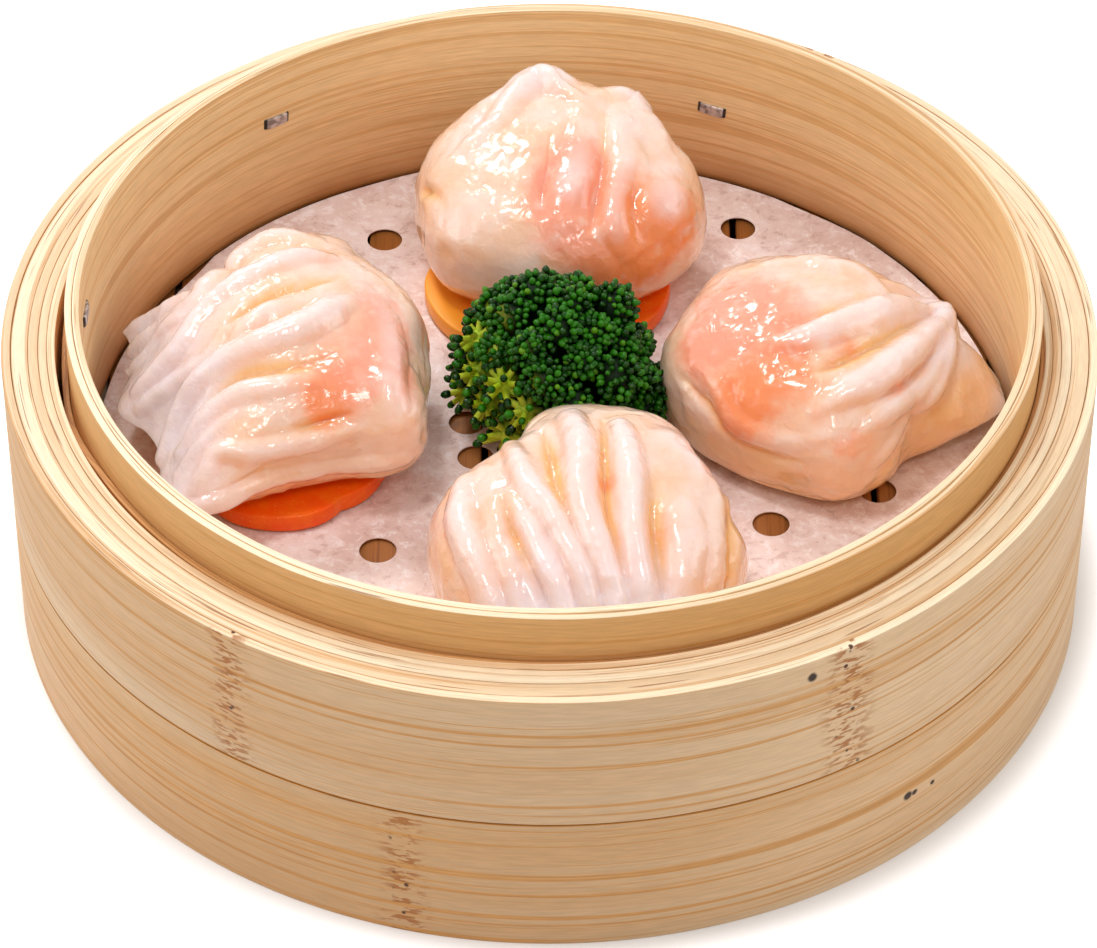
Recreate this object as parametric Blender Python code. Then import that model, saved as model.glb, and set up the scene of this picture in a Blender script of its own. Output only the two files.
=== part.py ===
"""Har gow dumplings in the bamboo steamer basket they are served in.

Metres, +Z up. The origin is the centre of the basket's foot, on the table.
The front of the serving faces -Y: a broccoli floret stands in the middle, with
one dumpling behind it, one on each side and one in front of it.
"""

from math import atan2, cos, pi, radians, sin, sqrt

import bmesh
import bpy
import numpy as np

MM = 0.001

# Basket: two bands outside, two packing strips behind them, an inner hoop of two plies.
BASKET_RADIUS = 85.0 * MM
BAND_THICKNESS = 2.5 * MM
BAND_SEAM = 24.7 * MM
RIM_HEIGHT = 49.5 * MM
GAP = 0.3 * MM
WRAP_OUTER = (79.4 * MM, 82.2 * MM)
WRAP_INNER = (76.6 * MM, 79.1 * MM)
WRAP_FOOT = 3.0 * MM
HOOP_RADIUS = 73.1 * MM
HOOP_PLY = 1.1 * MM
HOOP_TOP = 57.0 * MM
HOOP_OFFSET = 0.6 * MM
RING_SEGMENTS = 56

# Floor: slats over two cross bars, held between the inner hoop and the lower hoop.
FLOOR_TOP = 25.6 * MM
SLAT_THICKNESS = 3.5 * MM
SLAT_COUNT = 14
SLAT_PITCH = 10.2 * MM
SLAT_WIDTH = 9.2 * MM
FLOOR_RADIUS = 75.4 * MM
LOWER_HOOP_FOOT = 6.0 * MM
CROSS_BAR_Y = 30.0 * MM
CROSS_BAR_WIDTH = 8.0 * MM
CROSS_BAR_HEIGHT = 4.0 * MM
CROSS_BAR_RADIUS = 72.6 * MM

# Paper liner: a punched disc that comes short of the wall along its left side.
PAPER_RADIUS = 72.4 * MM
PAPER_THICKNESS = 0.5 * MM
PAPER_SEGMENTS = 60
PAPER_CUT_ANGLE = 151.0
PAPER_CUT_DISTANCE = 71.3 * MM
PUNCH_RADIUS = 2.9 * MM
PUNCH_SEGMENTS = 12
PUNCH_CENTRES = [
    (-27.5, 50.6),
    (31.4, 53.9),
    (-26.4, -26.8),
    (34.5, -20.3),
    (51.5, -12.4),
    (-13.1, 3.7),
    (-11.6, -4.8),
]

# Carrot: slices of a root notched into a five-petalled flower.
CARROT_THICKNESS = 3.0 * MM
CARROT_PETALS = 5
CARROT_NOTCH = 0.11
POINTS_PER_PETAL = 8

# Dumplings: mesh density of one dumpling.
DUMPLING_SPOKES = 46
DUMPLING_TOP_RINGS = 8
DUMPLING_BOTTOM_RINGS = 4
SKIN_EDGE = 0.65 * MM

# Broccoli: one floret, with a small side floret on its right.
BROCCOLI_SPOKES = 28
BROCCOLI_RINGS = 13
BROCCOLI_CENTRE = (-0.2, 6.2)
BROCCOLI_REACH = 15.6
BROCCOLI_DEPTH_SHARE = 0.93
BROCCOLI_STALK_REACH = 7.4
BROCCOLI_STALK_SHARE = 0.16
BROCCOLI_TOP = 49.8 * MM

# Staples that pin the hoop's overlap: angle round the hoop, height and tilt.
STAPLE_SIZE = (5.0 * MM, 0.5 * MM, 1.9 * MM)
STAPLES = [(128.8, 46.2, -4.0), (68.8, 40.4, -4.0), (178.0, 49.3, 0.0)]

PAPER_BOTTOM = FLOOR_TOP + GAP
PAPER_TOP = PAPER_BOTTOM + PAPER_THICKNESS
FOOD_BOTTOM = PAPER_TOP + GAP
CARROT_TOP = FOOD_BOTTOM + CARROT_THICKNESS

# Each dumpling, in millimetres about its own middle. "half_size" is its plan, "bulges"
# are (angle, growth, spread) on the outline, "crimp" is where the thin sealed edge
# lies (angle, half spread), "rim" is the edge's height on the round side and on the
# crimped side, and "apex" is where the top stands. Folds are strokes over the skin:
# kind, route (x, y and, low on the side, z), half widths and heights along it.
BACK_DUMPLING = {
    "name": "dumpling_back",
    "middle": (1.5, 44.6),
    "foot": CARROT_TOP + GAP,
    "half_size": (24.3, 22.5),
    "height": 23.5,
    "apex": (1, 9),
    "round": 0.8,
    "slope": 0.9,
    "crimp": (105, 34),
    "rim": (8.5, 11.5),
    "bulges": [
        (150, -1.5, 18),
        (50, -9.5, 18),
        (22, -6, 16),
        (190, -0.8, 25),
        (220, 1.8, 20),
        (335, 0.8, 18),
        (100, -2, 14),
    ],
    "folds": [
        ("horn", [(-14, 7), (-8, 10.5), (-3.5, 14, 20.5)], [4.5, 5, 5], [0.5, 1.6, 4]),
        ("horn", [(-3.5, 14, 20.5), (0.5, 12.5), (3, 11)], [5, 4.5, 4], [4, 1.8, 0.4]),
        ("horn", [(7.5, 10.5), (11.5, 11.8, 20), (14.5, 7)], [4, 5, 4.5], [0.6, 3.4, 1.2]),
        (
            "pleat",
            [(12.5, 7), (12, -2), (9, -12), (10, -19)],
            [1.6, 3.2, 3.3, 2.4],
            [0.4, 1.6, 1.8, 0.5],
        ),
        ("pleat", [(4, 7), (3, -1), (1.5, -14)], [1.4, 2.6, 2.4], [0.3, 1.4, 0.4]),
        ("groove", [(7.5, 5), (6, -4), (4, -18)], [2.2, 2.6, 2.2], [0.3, 1.7, 0.8]),
    ],
}
LEFT_DUMPLING = {
    "name": "dumpling_left",
    "middle": (-42.5, 5),
    "foot": CARROT_TOP + GAP,
    "half_size": (23.5, 25.5),
    "height": 22.5,
    "apex": (4, -1),
    "round": 0.85,
    "slope": 1.0,
    "crimp": (195, 62),
    "rim": (9, 5),
    "bulges": [
        (45, -3.5, 20),
        (112, -8, 18),
        (134, -10.5, 13),
        (157, 4, 8),
        (200, 3, 12),
        (248, 11, 16),
        (317, 6.5, 15),
    ],
    "folds": [
        (
            "pleat",
            [(6, 14), (-3, 16), (-11.5, 10), (-17, 6.5), (-22, 8, 6)],
            [2, 3, 2.6, 2.2, 2.4],
            [0.5, 1.9, 1.9, 1.5, 1],
        ),
        (
            "pleat",
            [(9, 8), (0, 8), (-10, 4.5), (-16, -0.5), (-22, -2, 6)],
            [1.2, 2.6, 2.2, 2, 2.2],
            [0.4, 1.9, 1.7, 1.5, 1],
        ),
        (
            "pleat",
            [(13, -3), (2.5, -9), (-8, -10), (-14, -12), (-17, -18, 7.5)],
            [1.5, 3.2, 2.6, 2.2, 1.8],
            [0.4, 2.4, 2.2, 1.9, 0.8],
        ),
        ("pleat", [(1, -18), (-8, -17.5), (-14, -28, 6)], [1.2, 2.4, 2], [0.3, 1.6, 0.8]),
        ("pleat", [(20, -23, 9), (5, -26.5, 7), (-9, -32, 7)], [2.4, 2.3, 2], [1, 1.5, 1]),
        ("groove", [(10, -14.5), (0, -14), (-10, -13.5)], [2, 3, 1.8], [0.4, 1.9, 0.5]),
    ],
}
FRONT_DUMPLING = {
    "name": "dumpling_front",
    "middle": (6, -36),
    "foot": FOOD_BOTTOM,
    "half_size": (24.5, 26),
    "height": 23.5,
    "apex": (0, 4),
    "round": 0.85,
    "slope": 1.0,
    "crimp": (270, 45),
    "rim": (9, 8),
    "bulges": [(28, -6.5, 17), (60, 0.5, 14), (136, -9, 19), (160, -1.5, 12)],
    "folds": [
        (
            "pleat",
            [(-20, 1), (-18, -8), (-13, -17), (-8, -25)],
            [1.2, 2.7, 2.7, 2.2],
            [0.3, 1.9, 1.9, 1],
        ),
        (
            "pleat",
            [(-11.5, 7), (-9, -1), (-2, -12), (3, -24)],
            [1.6, 2.3, 2.2, 2],
            [0.8, 1.9, 1.8, 1],
        ),
        (
            "pleat",
            [(-1.5, 12), (-0.8, 0), (1.5, -13), (5, -25)],
            [2.4, 2.8, 2.4, 2],
            [1.6, 2.5, 2, 1],
        ),
        ("pleat", [(5, 11.5), (6, -2), (6.5, -13), (8, -25)], [2.2, 2.7, 2.4, 2], [1.5, 2.4, 2, 1]),
        ("pleat", [(16.5, -3), (14.8, -12), (12, -25)], [1.2, 2.5, 2], [0.4, 1.8, 1]),
        ("groove", [(10, -3), (10, -10), (10.5, -16)], [2, 3.2, 2.4], [0.3, 1.6, 1.2]),
    ],
}
RIGHT_DUMPLING = {
    "name": "dumpling_right",
    "middle": (43, 5.5),
    "foot": FOOD_BOTTOM,
    "half_size": (26, 23),
    "height": 23.5,
    "apex": (-3, 1),
    "round": 0.85,
    "slope": 1.0,
    "crimp": (5, 38),
    "rim": (9, 5),
    "bulges": [
        (5, 2.4, 16),
        (352, 1.8, 9),
        (57, -5.5, 20),
        (95, -4.5, 22),
        (160, -2.2, 16),
        (222, -1.2, 20),
        (275, 2.5, 16),
        (315, -4.5, 16),
    ],
    "folds": [
        (
            "pleat",
            [(-10, -9), (0, -5.5), (12, 5.5), (19, 12, 12)],
            [1.4, 3.2, 3, 2],
            [0.4, 2, 2, 1.2],
        ),
        (
            "pleat",
            [(-3, -17.5), (5.5, -13.5), (16, 1), (19, 11, 12)],
            [1.2, 2.5, 2.3, 1.8],
            [0.4, 2, 2, 1.2],
        ),
        (
            "pleat",
            [(2.5, -22), (10.5, -15.5), (18.5, 0.5, 15), (19.5, 11, 12)],
            [1.2, 2.2, 2, 1.8],
            [0.4, 1.7, 1.7, 1.1],
        ),
        ("pleat", [(-7, 3), (0, 7.5), (10, 9)], [1.5, 3, 2], [0.4, 1.5, 0.8]),
        ("horn", [(18.5, 9, 12)], [6.5], [5.5]),
    ],
}


def clear_scene():
    for item in list(bpy.data.objects):
        bpy.data.objects.remove(item, do_unlink=True)


def make_material(name, colour, roughness, metallic=0.0):
    material = bpy.data.materials.new(name)
    material.use_nodes = True
    shader = material.node_tree.nodes["Principled BSDF"]
    shader.inputs["Base Color"].default_value = (*colour, 1.0)
    shader.inputs["Roughness"].default_value = roughness
    shader.inputs["Metallic"].default_value = metallic
    return material


def add_object(name, mesh, material, smooth_angle=40.0):
    """Links a finished mesh as an object, shaded smooth up to an angle."""
    mesh.materials.append(material)
    mesh.shade_smooth()
    mesh.set_sharp_from_angle(angle=radians(smooth_angle))
    item = bpy.data.objects.new(name, mesh)
    bpy.context.scene.collection.objects.link(item)
    return item


def mesh_from(name, work):
    """Turns a bmesh into a mesh with its faces pointing out."""
    bmesh.ops.recalc_face_normals(work, faces=work.faces)
    mesh = bpy.data.meshes.new(name)
    work.to_mesh(mesh)
    work.free()
    return mesh


def circle_point(radius, angle, middle=(0.0, 0.0)):
    return (middle[0] + radius * cos(angle), middle[1] + radius * sin(angle))


def extruded_outline(name, outline, bottom, top):
    """A flat plate: the outline filled as one face and extruded upwards."""
    work = bmesh.new()
    face = work.faces.new([work.verts.new((x, y, bottom)) for x, y in outline])
    raised = bmesh.ops.extrude_face_region(work, geom=[face])
    risen = [part for part in raised["geom"] if isinstance(part, bmesh.types.BMVert)]
    bmesh.ops.translate(work, verts=risen, vec=(0, 0, top - bottom))
    return mesh_from(name, work)


# Basket


def bamboo_ring(name, inner, outer, bottom, top, material, shift=0.0):
    """A bamboo strip closed into a ring: its cross-section spun about the basket's axis."""
    work = bmesh.new()
    corners = [(inner, bottom), (outer, bottom), (outer, top), (inner, top)]
    section = [work.verts.new((radius, 0, height)) for radius, height in corners]
    edges = [work.edges.new((section[i], section[(i + 1) % 4])) for i in range(4)]
    bmesh.ops.spin(
        work,
        geom=edges,
        cent=(0, 0, 0),
        axis=(0, 0, 1),
        angle=2 * pi,
        steps=RING_SEGMENTS,
        use_merge=True,
    )
    bmesh.ops.translate(work, verts=work.verts, vec=(shift, 0, 0))
    add_object(name, mesh_from(name, work), material)


def make_walls(bamboo):
    band_inner = BASKET_RADIUS - BAND_THICKNESS
    bamboo_ring("outer_band_lower", band_inner, BASKET_RADIUS, 0.0, BAND_SEAM, bamboo)
    bamboo_ring("outer_band_upper", band_inner, BASKET_RADIUS, BAND_SEAM + GAP, RIM_HEIGHT, bamboo)
    bamboo_ring("wrap_outer", *WRAP_OUTER, WRAP_FOOT, RIM_HEIGHT, bamboo)
    bamboo_ring("wrap_inner", *WRAP_INNER, WRAP_FOOT, RIM_HEIGHT, bamboo)

    outer_ply = HOOP_RADIUS + HOOP_PLY + GAP
    hoop_foot = FLOOR_TOP + GAP
    hoop_parts = [("hoop_inner_ply", HOOP_RADIUS), ("hoop_outer_ply", outer_ply)]
    for name, inner in hoop_parts:
        bamboo_ring(name, inner, inner + HOOP_PLY, hoop_foot, HOOP_TOP, bamboo, HOOP_OFFSET)

    lower_hoop_top = FLOOR_TOP - SLAT_THICKNESS - GAP
    hoop_outer = outer_ply + HOOP_PLY
    bamboo_ring("lower_hoop", HOOP_RADIUS, hoop_outer, LOWER_HOOP_FOOT, lower_hoop_top, bamboo)


def make_floor(bamboo):
    """Slats laid side by side along Y, their ends cut to the circle of the wall."""
    for index in range(SLAT_COUNT):
        middle = (index - (SLAT_COUNT - 1) / 2) * SLAT_PITCH
        left = middle - SLAT_WIDTH / 2
        right = middle + SLAT_WIDTH / 2
        left_end = sqrt(FLOOR_RADIUS**2 - left**2)
        right_end = sqrt(FLOOR_RADIUS**2 - right**2)
        outline = [(left, -left_end), (right, -right_end), (right, right_end), (left, left_end)]
        name = f"floor_slat_{index + 1:02d}"
        mesh = extruded_outline(name, outline, FLOOR_TOP - SLAT_THICKNESS, FLOOR_TOP)
        add_object(name, mesh, bamboo)

    bar_top = FLOOR_TOP - SLAT_THICKNESS - GAP
    for name, side in [("cross_bar_front", -1), ("cross_bar_back", 1)]:
        near = side * CROSS_BAR_Y - CROSS_BAR_WIDTH / 2
        far = side * CROSS_BAR_Y + CROSS_BAR_WIDTH / 2
        near_end = sqrt(CROSS_BAR_RADIUS**2 - near**2)
        far_end = sqrt(CROSS_BAR_RADIUS**2 - far**2)
        outline = [(-near_end, near), (near_end, near), (far_end, far), (-far_end, far)]
        add_object(name, extruded_outline(name, outline, bar_top - CROSS_BAR_HEIGHT, bar_top), bamboo)


def make_staples(steel):
    """Flattened wire staples, each lying against the hoop's inner face."""
    length, depth, width = STAPLE_SIZE
    for index, (angle, height, tilt) in enumerate(STAPLES):
        name = f"staple_{index + 1}"
        work = bmesh.new()
        bmesh.ops.create_cube(work, size=1.0)
        bmesh.ops.scale(work, verts=work.verts, vec=(length, depth, width))
        bmesh.ops.bevel(work, geom=work.edges, offset=depth * 0.3, segments=1, affect="EDGES")
        item = add_object(name, mesh_from(name, work), steel)
        reach = HOOP_RADIUS - GAP - depth
        x, y = circle_point(reach, radians(angle), (HOOP_OFFSET, 0))
        item.location = (x, y, height * MM)
        item.rotation_euler = (0, radians(-tilt), radians(angle - 90))


def make_paper(paper):
    """The disc of steaming paper, with the holes that let the steam through."""
    cut_middle = radians(PAPER_CUT_ANGLE)
    outline = []
    for index in range(PAPER_SEGMENTS):
        angle = 2 * pi * index / PAPER_SEGMENTS
        facing = cos(angle - cut_middle)
        reach = PAPER_RADIUS
        if facing * PAPER_RADIUS > PAPER_CUT_DISTANCE:
            reach = PAPER_CUT_DISTANCE / facing
        outline.append(circle_point(reach, angle, (HOOP_OFFSET, 0)))
    disc = add_object("paper_liner", extruded_outline("paper_liner", outline, PAPER_BOTTOM, PAPER_TOP), paper)

    work = bmesh.new()
    for x, y in PUNCH_CENTRES:
        pin = bmesh.ops.create_cone(
            work,
            cap_ends=True,
            segments=PUNCH_SEGMENTS,
            radius1=PUNCH_RADIUS,
            radius2=PUNCH_RADIUS,
            depth=PAPER_THICKNESS * 4,
        )
        bmesh.ops.translate(work, verts=pin["verts"], vec=(x * MM, y * MM, PAPER_TOP))
    punch = bpy.data.objects.new("paper_punch", mesh_from("paper_punch", work))
    bpy.context.scene.collection.objects.link(punch)
    punch.hide_render = True
    punch.display_type = "WIRE"
    holes = disc.modifiers.new("steam_holes", "BOOLEAN")
    holes.operation = "DIFFERENCE"
    holes.object = punch


# Vegetables


def make_carrot(name, middle, radius, notch_angle, right_share, carrot):
    """A slice of a notched carrot: round petals that meet in five V-shaped notches.

    right_share draws its right half in, because neither root was quite round.
    """
    outline = []
    steps = CARROT_PETALS * POINTS_PER_PETAL
    for index in range(steps):
        turn = 2 * pi * index / steps
        from_notch = abs(sin(turn * CARROT_PETALS / 2))
        reach = radius * (1 - CARROT_NOTCH * (1 - from_notch) ** 2)
        x, y = circle_point(reach, turn + radians(notch_angle))
        outline.append((middle[0] + x * (right_share if x > 0 else 1.0), middle[1] + y))
    add_object(name, extruded_outline(name, outline, FOOD_BOTTOM, CARROT_TOP), carrot)


def broccoli_reach(angle, height_share):
    """Half width of the floret at an angle, from its foot (0) to its top (1), in mm."""
    if height_share < BROCCOLI_STALK_SHARE:
        return BROCCOLI_STALK_REACH
    crown = sin(pi * (0.22 + 0.78 * height_share)) ** 0.55
    lumps = 0.9 * sin(3 * angle + 0.6) + 0.7 * sin(5 * angle + 5.0 * height_share)
    toward_side = (angle - radians(-8) + pi) % (2 * pi) - pi
    side_floret = np.exp(-((toward_side / 0.42) ** 2)) * np.exp(-(((height_share - 0.35) / 0.25) ** 2))
    return (BROCCOLI_REACH + lumps) * crown + 0.4 * side_floret


def make_broccoli(green):
    """The floret out to its buds: a short stalk under one lumpy dome."""
    work = bmesh.new()
    centre_x, centre_y = BROCCOLI_CENTRE
    height = BROCCOLI_TOP - FOOD_BOTTOM
    rows = []
    for ring in range(BROCCOLI_RINGS):
        share = ring / BROCCOLI_RINGS
        row = []
        for spoke in range(BROCCOLI_SPOKES):
            angle = 2 * pi * spoke / BROCCOLI_SPOKES
            reach = broccoli_reach(angle, share)
            x = centre_x + reach * cos(angle)
            y = centre_y + BROCCOLI_DEPTH_SHARE * reach * sin(angle)
            row.append(work.verts.new((x * MM, y * MM, FOOD_BOTTOM + share * height)))
        rows.append(row)
    top = work.verts.new((centre_x * MM, centre_y * MM, BROCCOLI_TOP))
    close_rows(work, rows, top)
    add_object("broccoli", mesh_from("broccoli", work), green, smooth_angle=80)


def close_rows(work, rows, top, bottom=None):
    """Faces between stacked rings of vertices, with a point on top and one below or a flat foot."""
    count = len(rows[0])
    for lower, upper in zip(rows, rows[1:]):
        for i in range(count):
            j = (i + 1) % count
            work.faces.new((lower[i], lower[j], upper[j], upper[i]))
    for i in range(count):
        work.faces.new((rows[-1][i], rows[-1][(i + 1) % count], top))
    if bottom is None:
        work.faces.new(list(reversed(rows[0])))
    else:
        for i in range(count):
            work.faces.new((rows[0][(i + 1) % count], rows[0][i], bottom))


# Dumplings


def plan_reach(shape, angle):
    """Reach of the plain oval and the growth of the bulges at an angle, in mm."""
    across, along = shape["half_size"]
    oval = across * along / sqrt((along * cos(angle)) ** 2 + (across * sin(angle)) ** 2)
    growth = 0.0
    for middle, size, spread in shape["bulges"]:
        gap = (np.degrees(angle) - middle + 180) % 360 - 180
        growth += size * np.exp(-((gap / spread) ** 2))
    return oval, growth


def crimp_share(shape, angle):
    """1 where the skin is pinched thin, 0 on the round belly, with a soft change between."""
    middle, half_spread = shape["crimp"]
    gap = abs((np.degrees(angle) - middle + 180) % 360 - 180)
    share = min(1.0, max(0.0, (half_spread + 22 - gap) / 44))
    return share * share * (3 - 2 * share)


def skin_point(shape, angle, slope):
    """A point of the plain dumpling. slope is 0 at the top, 90 degrees at the edge, 180 below."""
    oval, growth = plan_reach(shape, angle)
    thin = crimp_share(shape, angle)
    round_edge, thin_edge = shape["rim"]
    edge = round_edge + (thin_edge - round_edge) * thin
    out = sin(slope)
    up = cos(slope)
    thin *= out**1.3
    apex_x, apex_y = shape["apex"]
    reach = (oval + growth * out * out) * out
    x = reach * cos(angle) + apex_x * (1 - out)
    y = reach * sin(angle) + apex_y * (1 - out)
    lip = SKIN_EDGE / MM * sqrt(max(0.0, 1 - out**10))
    if up >= 0:
        belly = up ** shape["round"]
        wedge = max(0.0, 1 - out * out) ** shape["slope"]
        rise = (1 - thin) * belly + thin * wedge
        return (x, y, edge + (shape["height"] - edge) * rise + lip)
    belly = sin(min(1.0, -1.45 * up) * pi / 2)
    wedge = sin(min(1.0, (1 - out) * 3.0) * pi / 2)
    fall = (1 - thin) * belly + thin * wedge
    return (x, y, edge - edge * fall - lip * (1 - fall))


def skin_height(shape, x, y):
    """Height of the plain skin over a point of the plan, by stepping down from the top."""
    apex_x, apex_y = shape["apex"]
    best_gap = 1e9
    height = 0.0
    for degrees in range(0, 91, 2):
        slope = radians(degrees)
        near_x = x - apex_x * (1 - sin(slope))
        near_y = y - apex_y * (1 - sin(slope))
        point = skin_point(shape, atan2(near_y, near_x), slope)
        gap = (point[0] - x) ** 2 + (point[1] - y) ** 2
        if gap < best_gap:
            best_gap = gap
            height = point[2]
    return height


def smooth_route(points, pieces=8):
    """A Catmull-Rom curve through the points of a fold's route."""
    points = [np.array(point, dtype=float) for point in points]
    if len(points) == 1:
        return [points[0], points[0]]
    ends = [2 * points[0] - points[1]] + points + [2 * points[-1] - points[-2]]
    route = []
    for a, b, c, d in zip(ends, ends[1:], ends[2:], ends[3:]):
        for step in range(pieces):
            t = step / pieces
            route.append(0.5 * (2 * b + (c - a) * t + (2 * a - 5 * b + 4 * c - d) * t**2 + (3 * b - a - 3 * c + d) * t**3))
    return route + [points[-1]]


def nearest_on_route(points, route):
    """Distance of each point to the route, and how far along the route it lies."""
    nearest = np.full(len(points), 1e9)
    along = np.zeros(len(points))
    count = len(route) - 1
    for index in range(count):
        start = route[index]
        run = route[index + 1] - start
        share = np.clip((points - start) @ run / max(run @ run, 1e-9), 0, 1)
        gap = np.linalg.norm(points - start - share[:, None] * run, axis=1)
        closer = gap < nearest
        nearest[closer] = gap[closer]
        along[closer] = (index + share[closer]) / count
    return nearest, along


def fold_lift(shape, points):
    """How far every fold together lifts the skin at each point."""
    pleats = np.zeros(len(points))
    horns = np.zeros(len(points))
    grooves = np.zeros(len(points))
    for kind, route, half_widths, heights in shape["folds"]:
        placed = [p if len(p) == 3 else (*p, skin_height(shape, *p)) for p in route]
        gap, along = nearest_on_route(points, smooth_route(placed))
        stops = np.linspace(0, 1, len(half_widths))
        height = np.interp(along, stops, heights)
        share = np.clip(gap / np.interp(along, stops, half_widths), 0, 1)
        if kind == "pleat":
            pleats = np.maximum(pleats, height * np.sqrt(1 - share**2) * (1 - share**4))
        elif kind == "horn":
            horns = np.maximum(horns, height * (1 - share) ** 1.5 * (1 + 1.5 * share))
        else:
            grooves += height * (1 - share**2) ** 2
    return pleats + horns - grooves


def make_dumpling(shape, skin):
    """A pleated dumpling: rings of skin points, lifted along their normals by the folds."""
    rise = [90 * ring / DUMPLING_TOP_RINGS for ring in range(1, DUMPLING_TOP_RINGS + 1)]
    below = [90 + 90 * ring / (DUMPLING_BOTTOM_RINGS + 1) for ring in range(1, DUMPLING_BOTTOM_RINGS + 1)]
    work = bmesh.new()
    rows = []
    for degrees in reversed(rise + below):
        row = []
        for spoke in range(DUMPLING_SPOKES):
            angle = 2 * pi * spoke / DUMPLING_SPOKES
            row.append(work.verts.new(skin_point(shape, angle, radians(degrees))))
        rows.append(row)
    top = work.verts.new(skin_point(shape, 0.0, 0.0))
    bottom = work.verts.new(skin_point(shape, 0.0, pi))
    close_rows(work, rows, top, bottom)
    bmesh.ops.recalc_face_normals(work, faces=work.faces)
    work.normal_update()
    lifts = fold_lift(shape, np.array([vert.co[:] for vert in work.verts]))
    for vert, lift in zip(work.verts, lifts):
        vert.co += vert.normal * lift
    bmesh.ops.scale(work, verts=work.verts, vec=(MM, MM, MM))
    middle_x, middle_y = shape["middle"]
    name = shape["name"]
    item = add_object(name, mesh_from(name, work), skin, smooth_angle=80)
    item.location = (middle_x * MM, middle_y * MM, shape["foot"])


def main():
    clear_scene()
    bamboo = make_material("bamboo", (0.72, 0.52, 0.30), 0.55)
    paper = make_material("steaming_paper", (0.74, 0.60, 0.56), 0.8)
    skin = make_material("dumpling_skin", (0.90, 0.66, 0.52), 0.25)
    carrot = make_material("carrot", (0.80, 0.16, 0.01), 0.4)
    green = make_material("broccoli_green", (0.03, 0.14, 0.02), 0.5)
    steel = make_material("staple_steel", (0.45, 0.43, 0.42), 0.35, metallic=1.0)
    make_walls(bamboo)
    make_floor(bamboo)
    make_staples(steel)
    make_paper(paper)
    make_carrot("carrot_left", (-41.5 * MM, -3.5 * MM), 19.6 * MM, -54.0, 0.86, carrot)
    make_carrot("carrot_back", (0.0, 37.0 * MM), 20.8 * MM, 170.0, 0.95, carrot)
    make_broccoli(green)
    for shape in (BACK_DUMPLING, LEFT_DUMPLING, FRONT_DUMPLING, RIGHT_DUMPLING):
        make_dumpling(shape, skin)


main()
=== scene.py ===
# %% [markdown]
# # Har gow in a bamboo steamer
# A round steamer basket holds four pleated shrimp dumplings, a broccoli floret and two
# flower-cut carrot slices on a sheet of punched paper. The CAD model fixes every place and
# size. This lesson puts fine shapes and finishes over it, one piece at a time.

# %% Load the frame
import math
import random

import bpy
import numpy as np
from mathutils import Euler, Matrix, Vector, noise


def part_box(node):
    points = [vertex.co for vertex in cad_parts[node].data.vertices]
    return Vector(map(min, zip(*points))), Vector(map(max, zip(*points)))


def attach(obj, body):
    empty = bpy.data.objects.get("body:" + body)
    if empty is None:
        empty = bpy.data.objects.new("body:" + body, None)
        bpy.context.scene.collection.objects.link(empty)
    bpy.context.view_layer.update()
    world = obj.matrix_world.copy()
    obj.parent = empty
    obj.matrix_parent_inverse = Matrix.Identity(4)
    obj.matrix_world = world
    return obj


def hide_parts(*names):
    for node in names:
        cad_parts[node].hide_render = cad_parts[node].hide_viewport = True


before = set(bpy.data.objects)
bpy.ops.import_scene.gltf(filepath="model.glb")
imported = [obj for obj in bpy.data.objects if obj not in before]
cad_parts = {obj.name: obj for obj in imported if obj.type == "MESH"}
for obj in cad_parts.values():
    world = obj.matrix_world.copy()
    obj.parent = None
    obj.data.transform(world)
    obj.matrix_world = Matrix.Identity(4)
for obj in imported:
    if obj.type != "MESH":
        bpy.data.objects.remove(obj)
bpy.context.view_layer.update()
MM = 0.001

# %% [markdown]
# ## Measures from the frame
# The basket's radius, rim, hoop and floor are read from the CAD nodes' boxes, so a change
# in the CAD model carries through. Only ply thicknesses and soft edges are decided here,
# because the CAD model leaves them out.

# %% Read the measures
rim_low, rim_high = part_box("outer_band_upper")
foot_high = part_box("outer_band_lower")[1]
hoop_low, hoop_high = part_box("hoop_inner_ply")
paper_low, paper_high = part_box("paper_liner")
slat_low, slat_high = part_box("floor_slat_07")

BASKET_RADIUS = rim_high[0]
RIM_TOP = rim_high[2]
BAND_SEAM = foot_high[2]
SEAM_GAP = rim_low[2] - foot_high[2]
HOOP_MIDDLE = (hoop_low[0] + hoop_high[0]) / 2
HOOP_TOP = hoop_high[2]
HOOP_FOOT = hoop_low[2]
HOOP_PLY = 1.1 * MM
HOOP_RADIUS = hoop_high[0] - HOOP_MIDDLE - HOOP_PLY
FLOOR_TOP = slat_high[2]
print("radius", BASKET_RADIUS, "rim", RIM_TOP, "hoop", HOOP_RADIUS, HOOP_TOP, "floor", FLOOR_TOP)

# %% [markdown]
# ## Camera
# A long lens from in front and above, so that the basket's wall, its rim and the food all
# show. It is set from the point it looks at, its distance and its elevation.

# %% Place the camera
CAMERA_TARGET = Vector((-0.0001, 0.0, 0.0187))
CAMERA_DISTANCE = 0.765
CAMERA_ELEVATION = math.radians(41.03)
CAMERA_ROLL = math.radians(0.197)
CAMERA_LENS = 157.3

turn = Euler((math.pi / 2 - CAMERA_ELEVATION, 0.0, 0.0)).to_matrix()
turn = turn @ Matrix.Rotation(CAMERA_ROLL, 3, "Z")
camera_data = bpy.data.cameras.new("camera")
camera_data.lens = CAMERA_LENS
camera_data.clip_start = 0.01
camera = bpy.data.objects.new("camera", camera_data)
back = Vector((0.0, -math.cos(CAMERA_ELEVATION), math.sin(CAMERA_ELEVATION)))
camera.location = CAMERA_TARGET + back * CAMERA_DISTANCE
camera.rotation_euler = turn.to_euler()
bpy.context.scene.collection.objects.link(camera)
bpy.context.scene.camera = camera
print("camera at", tuple(round(part, 4) for part in camera.location))

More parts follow.
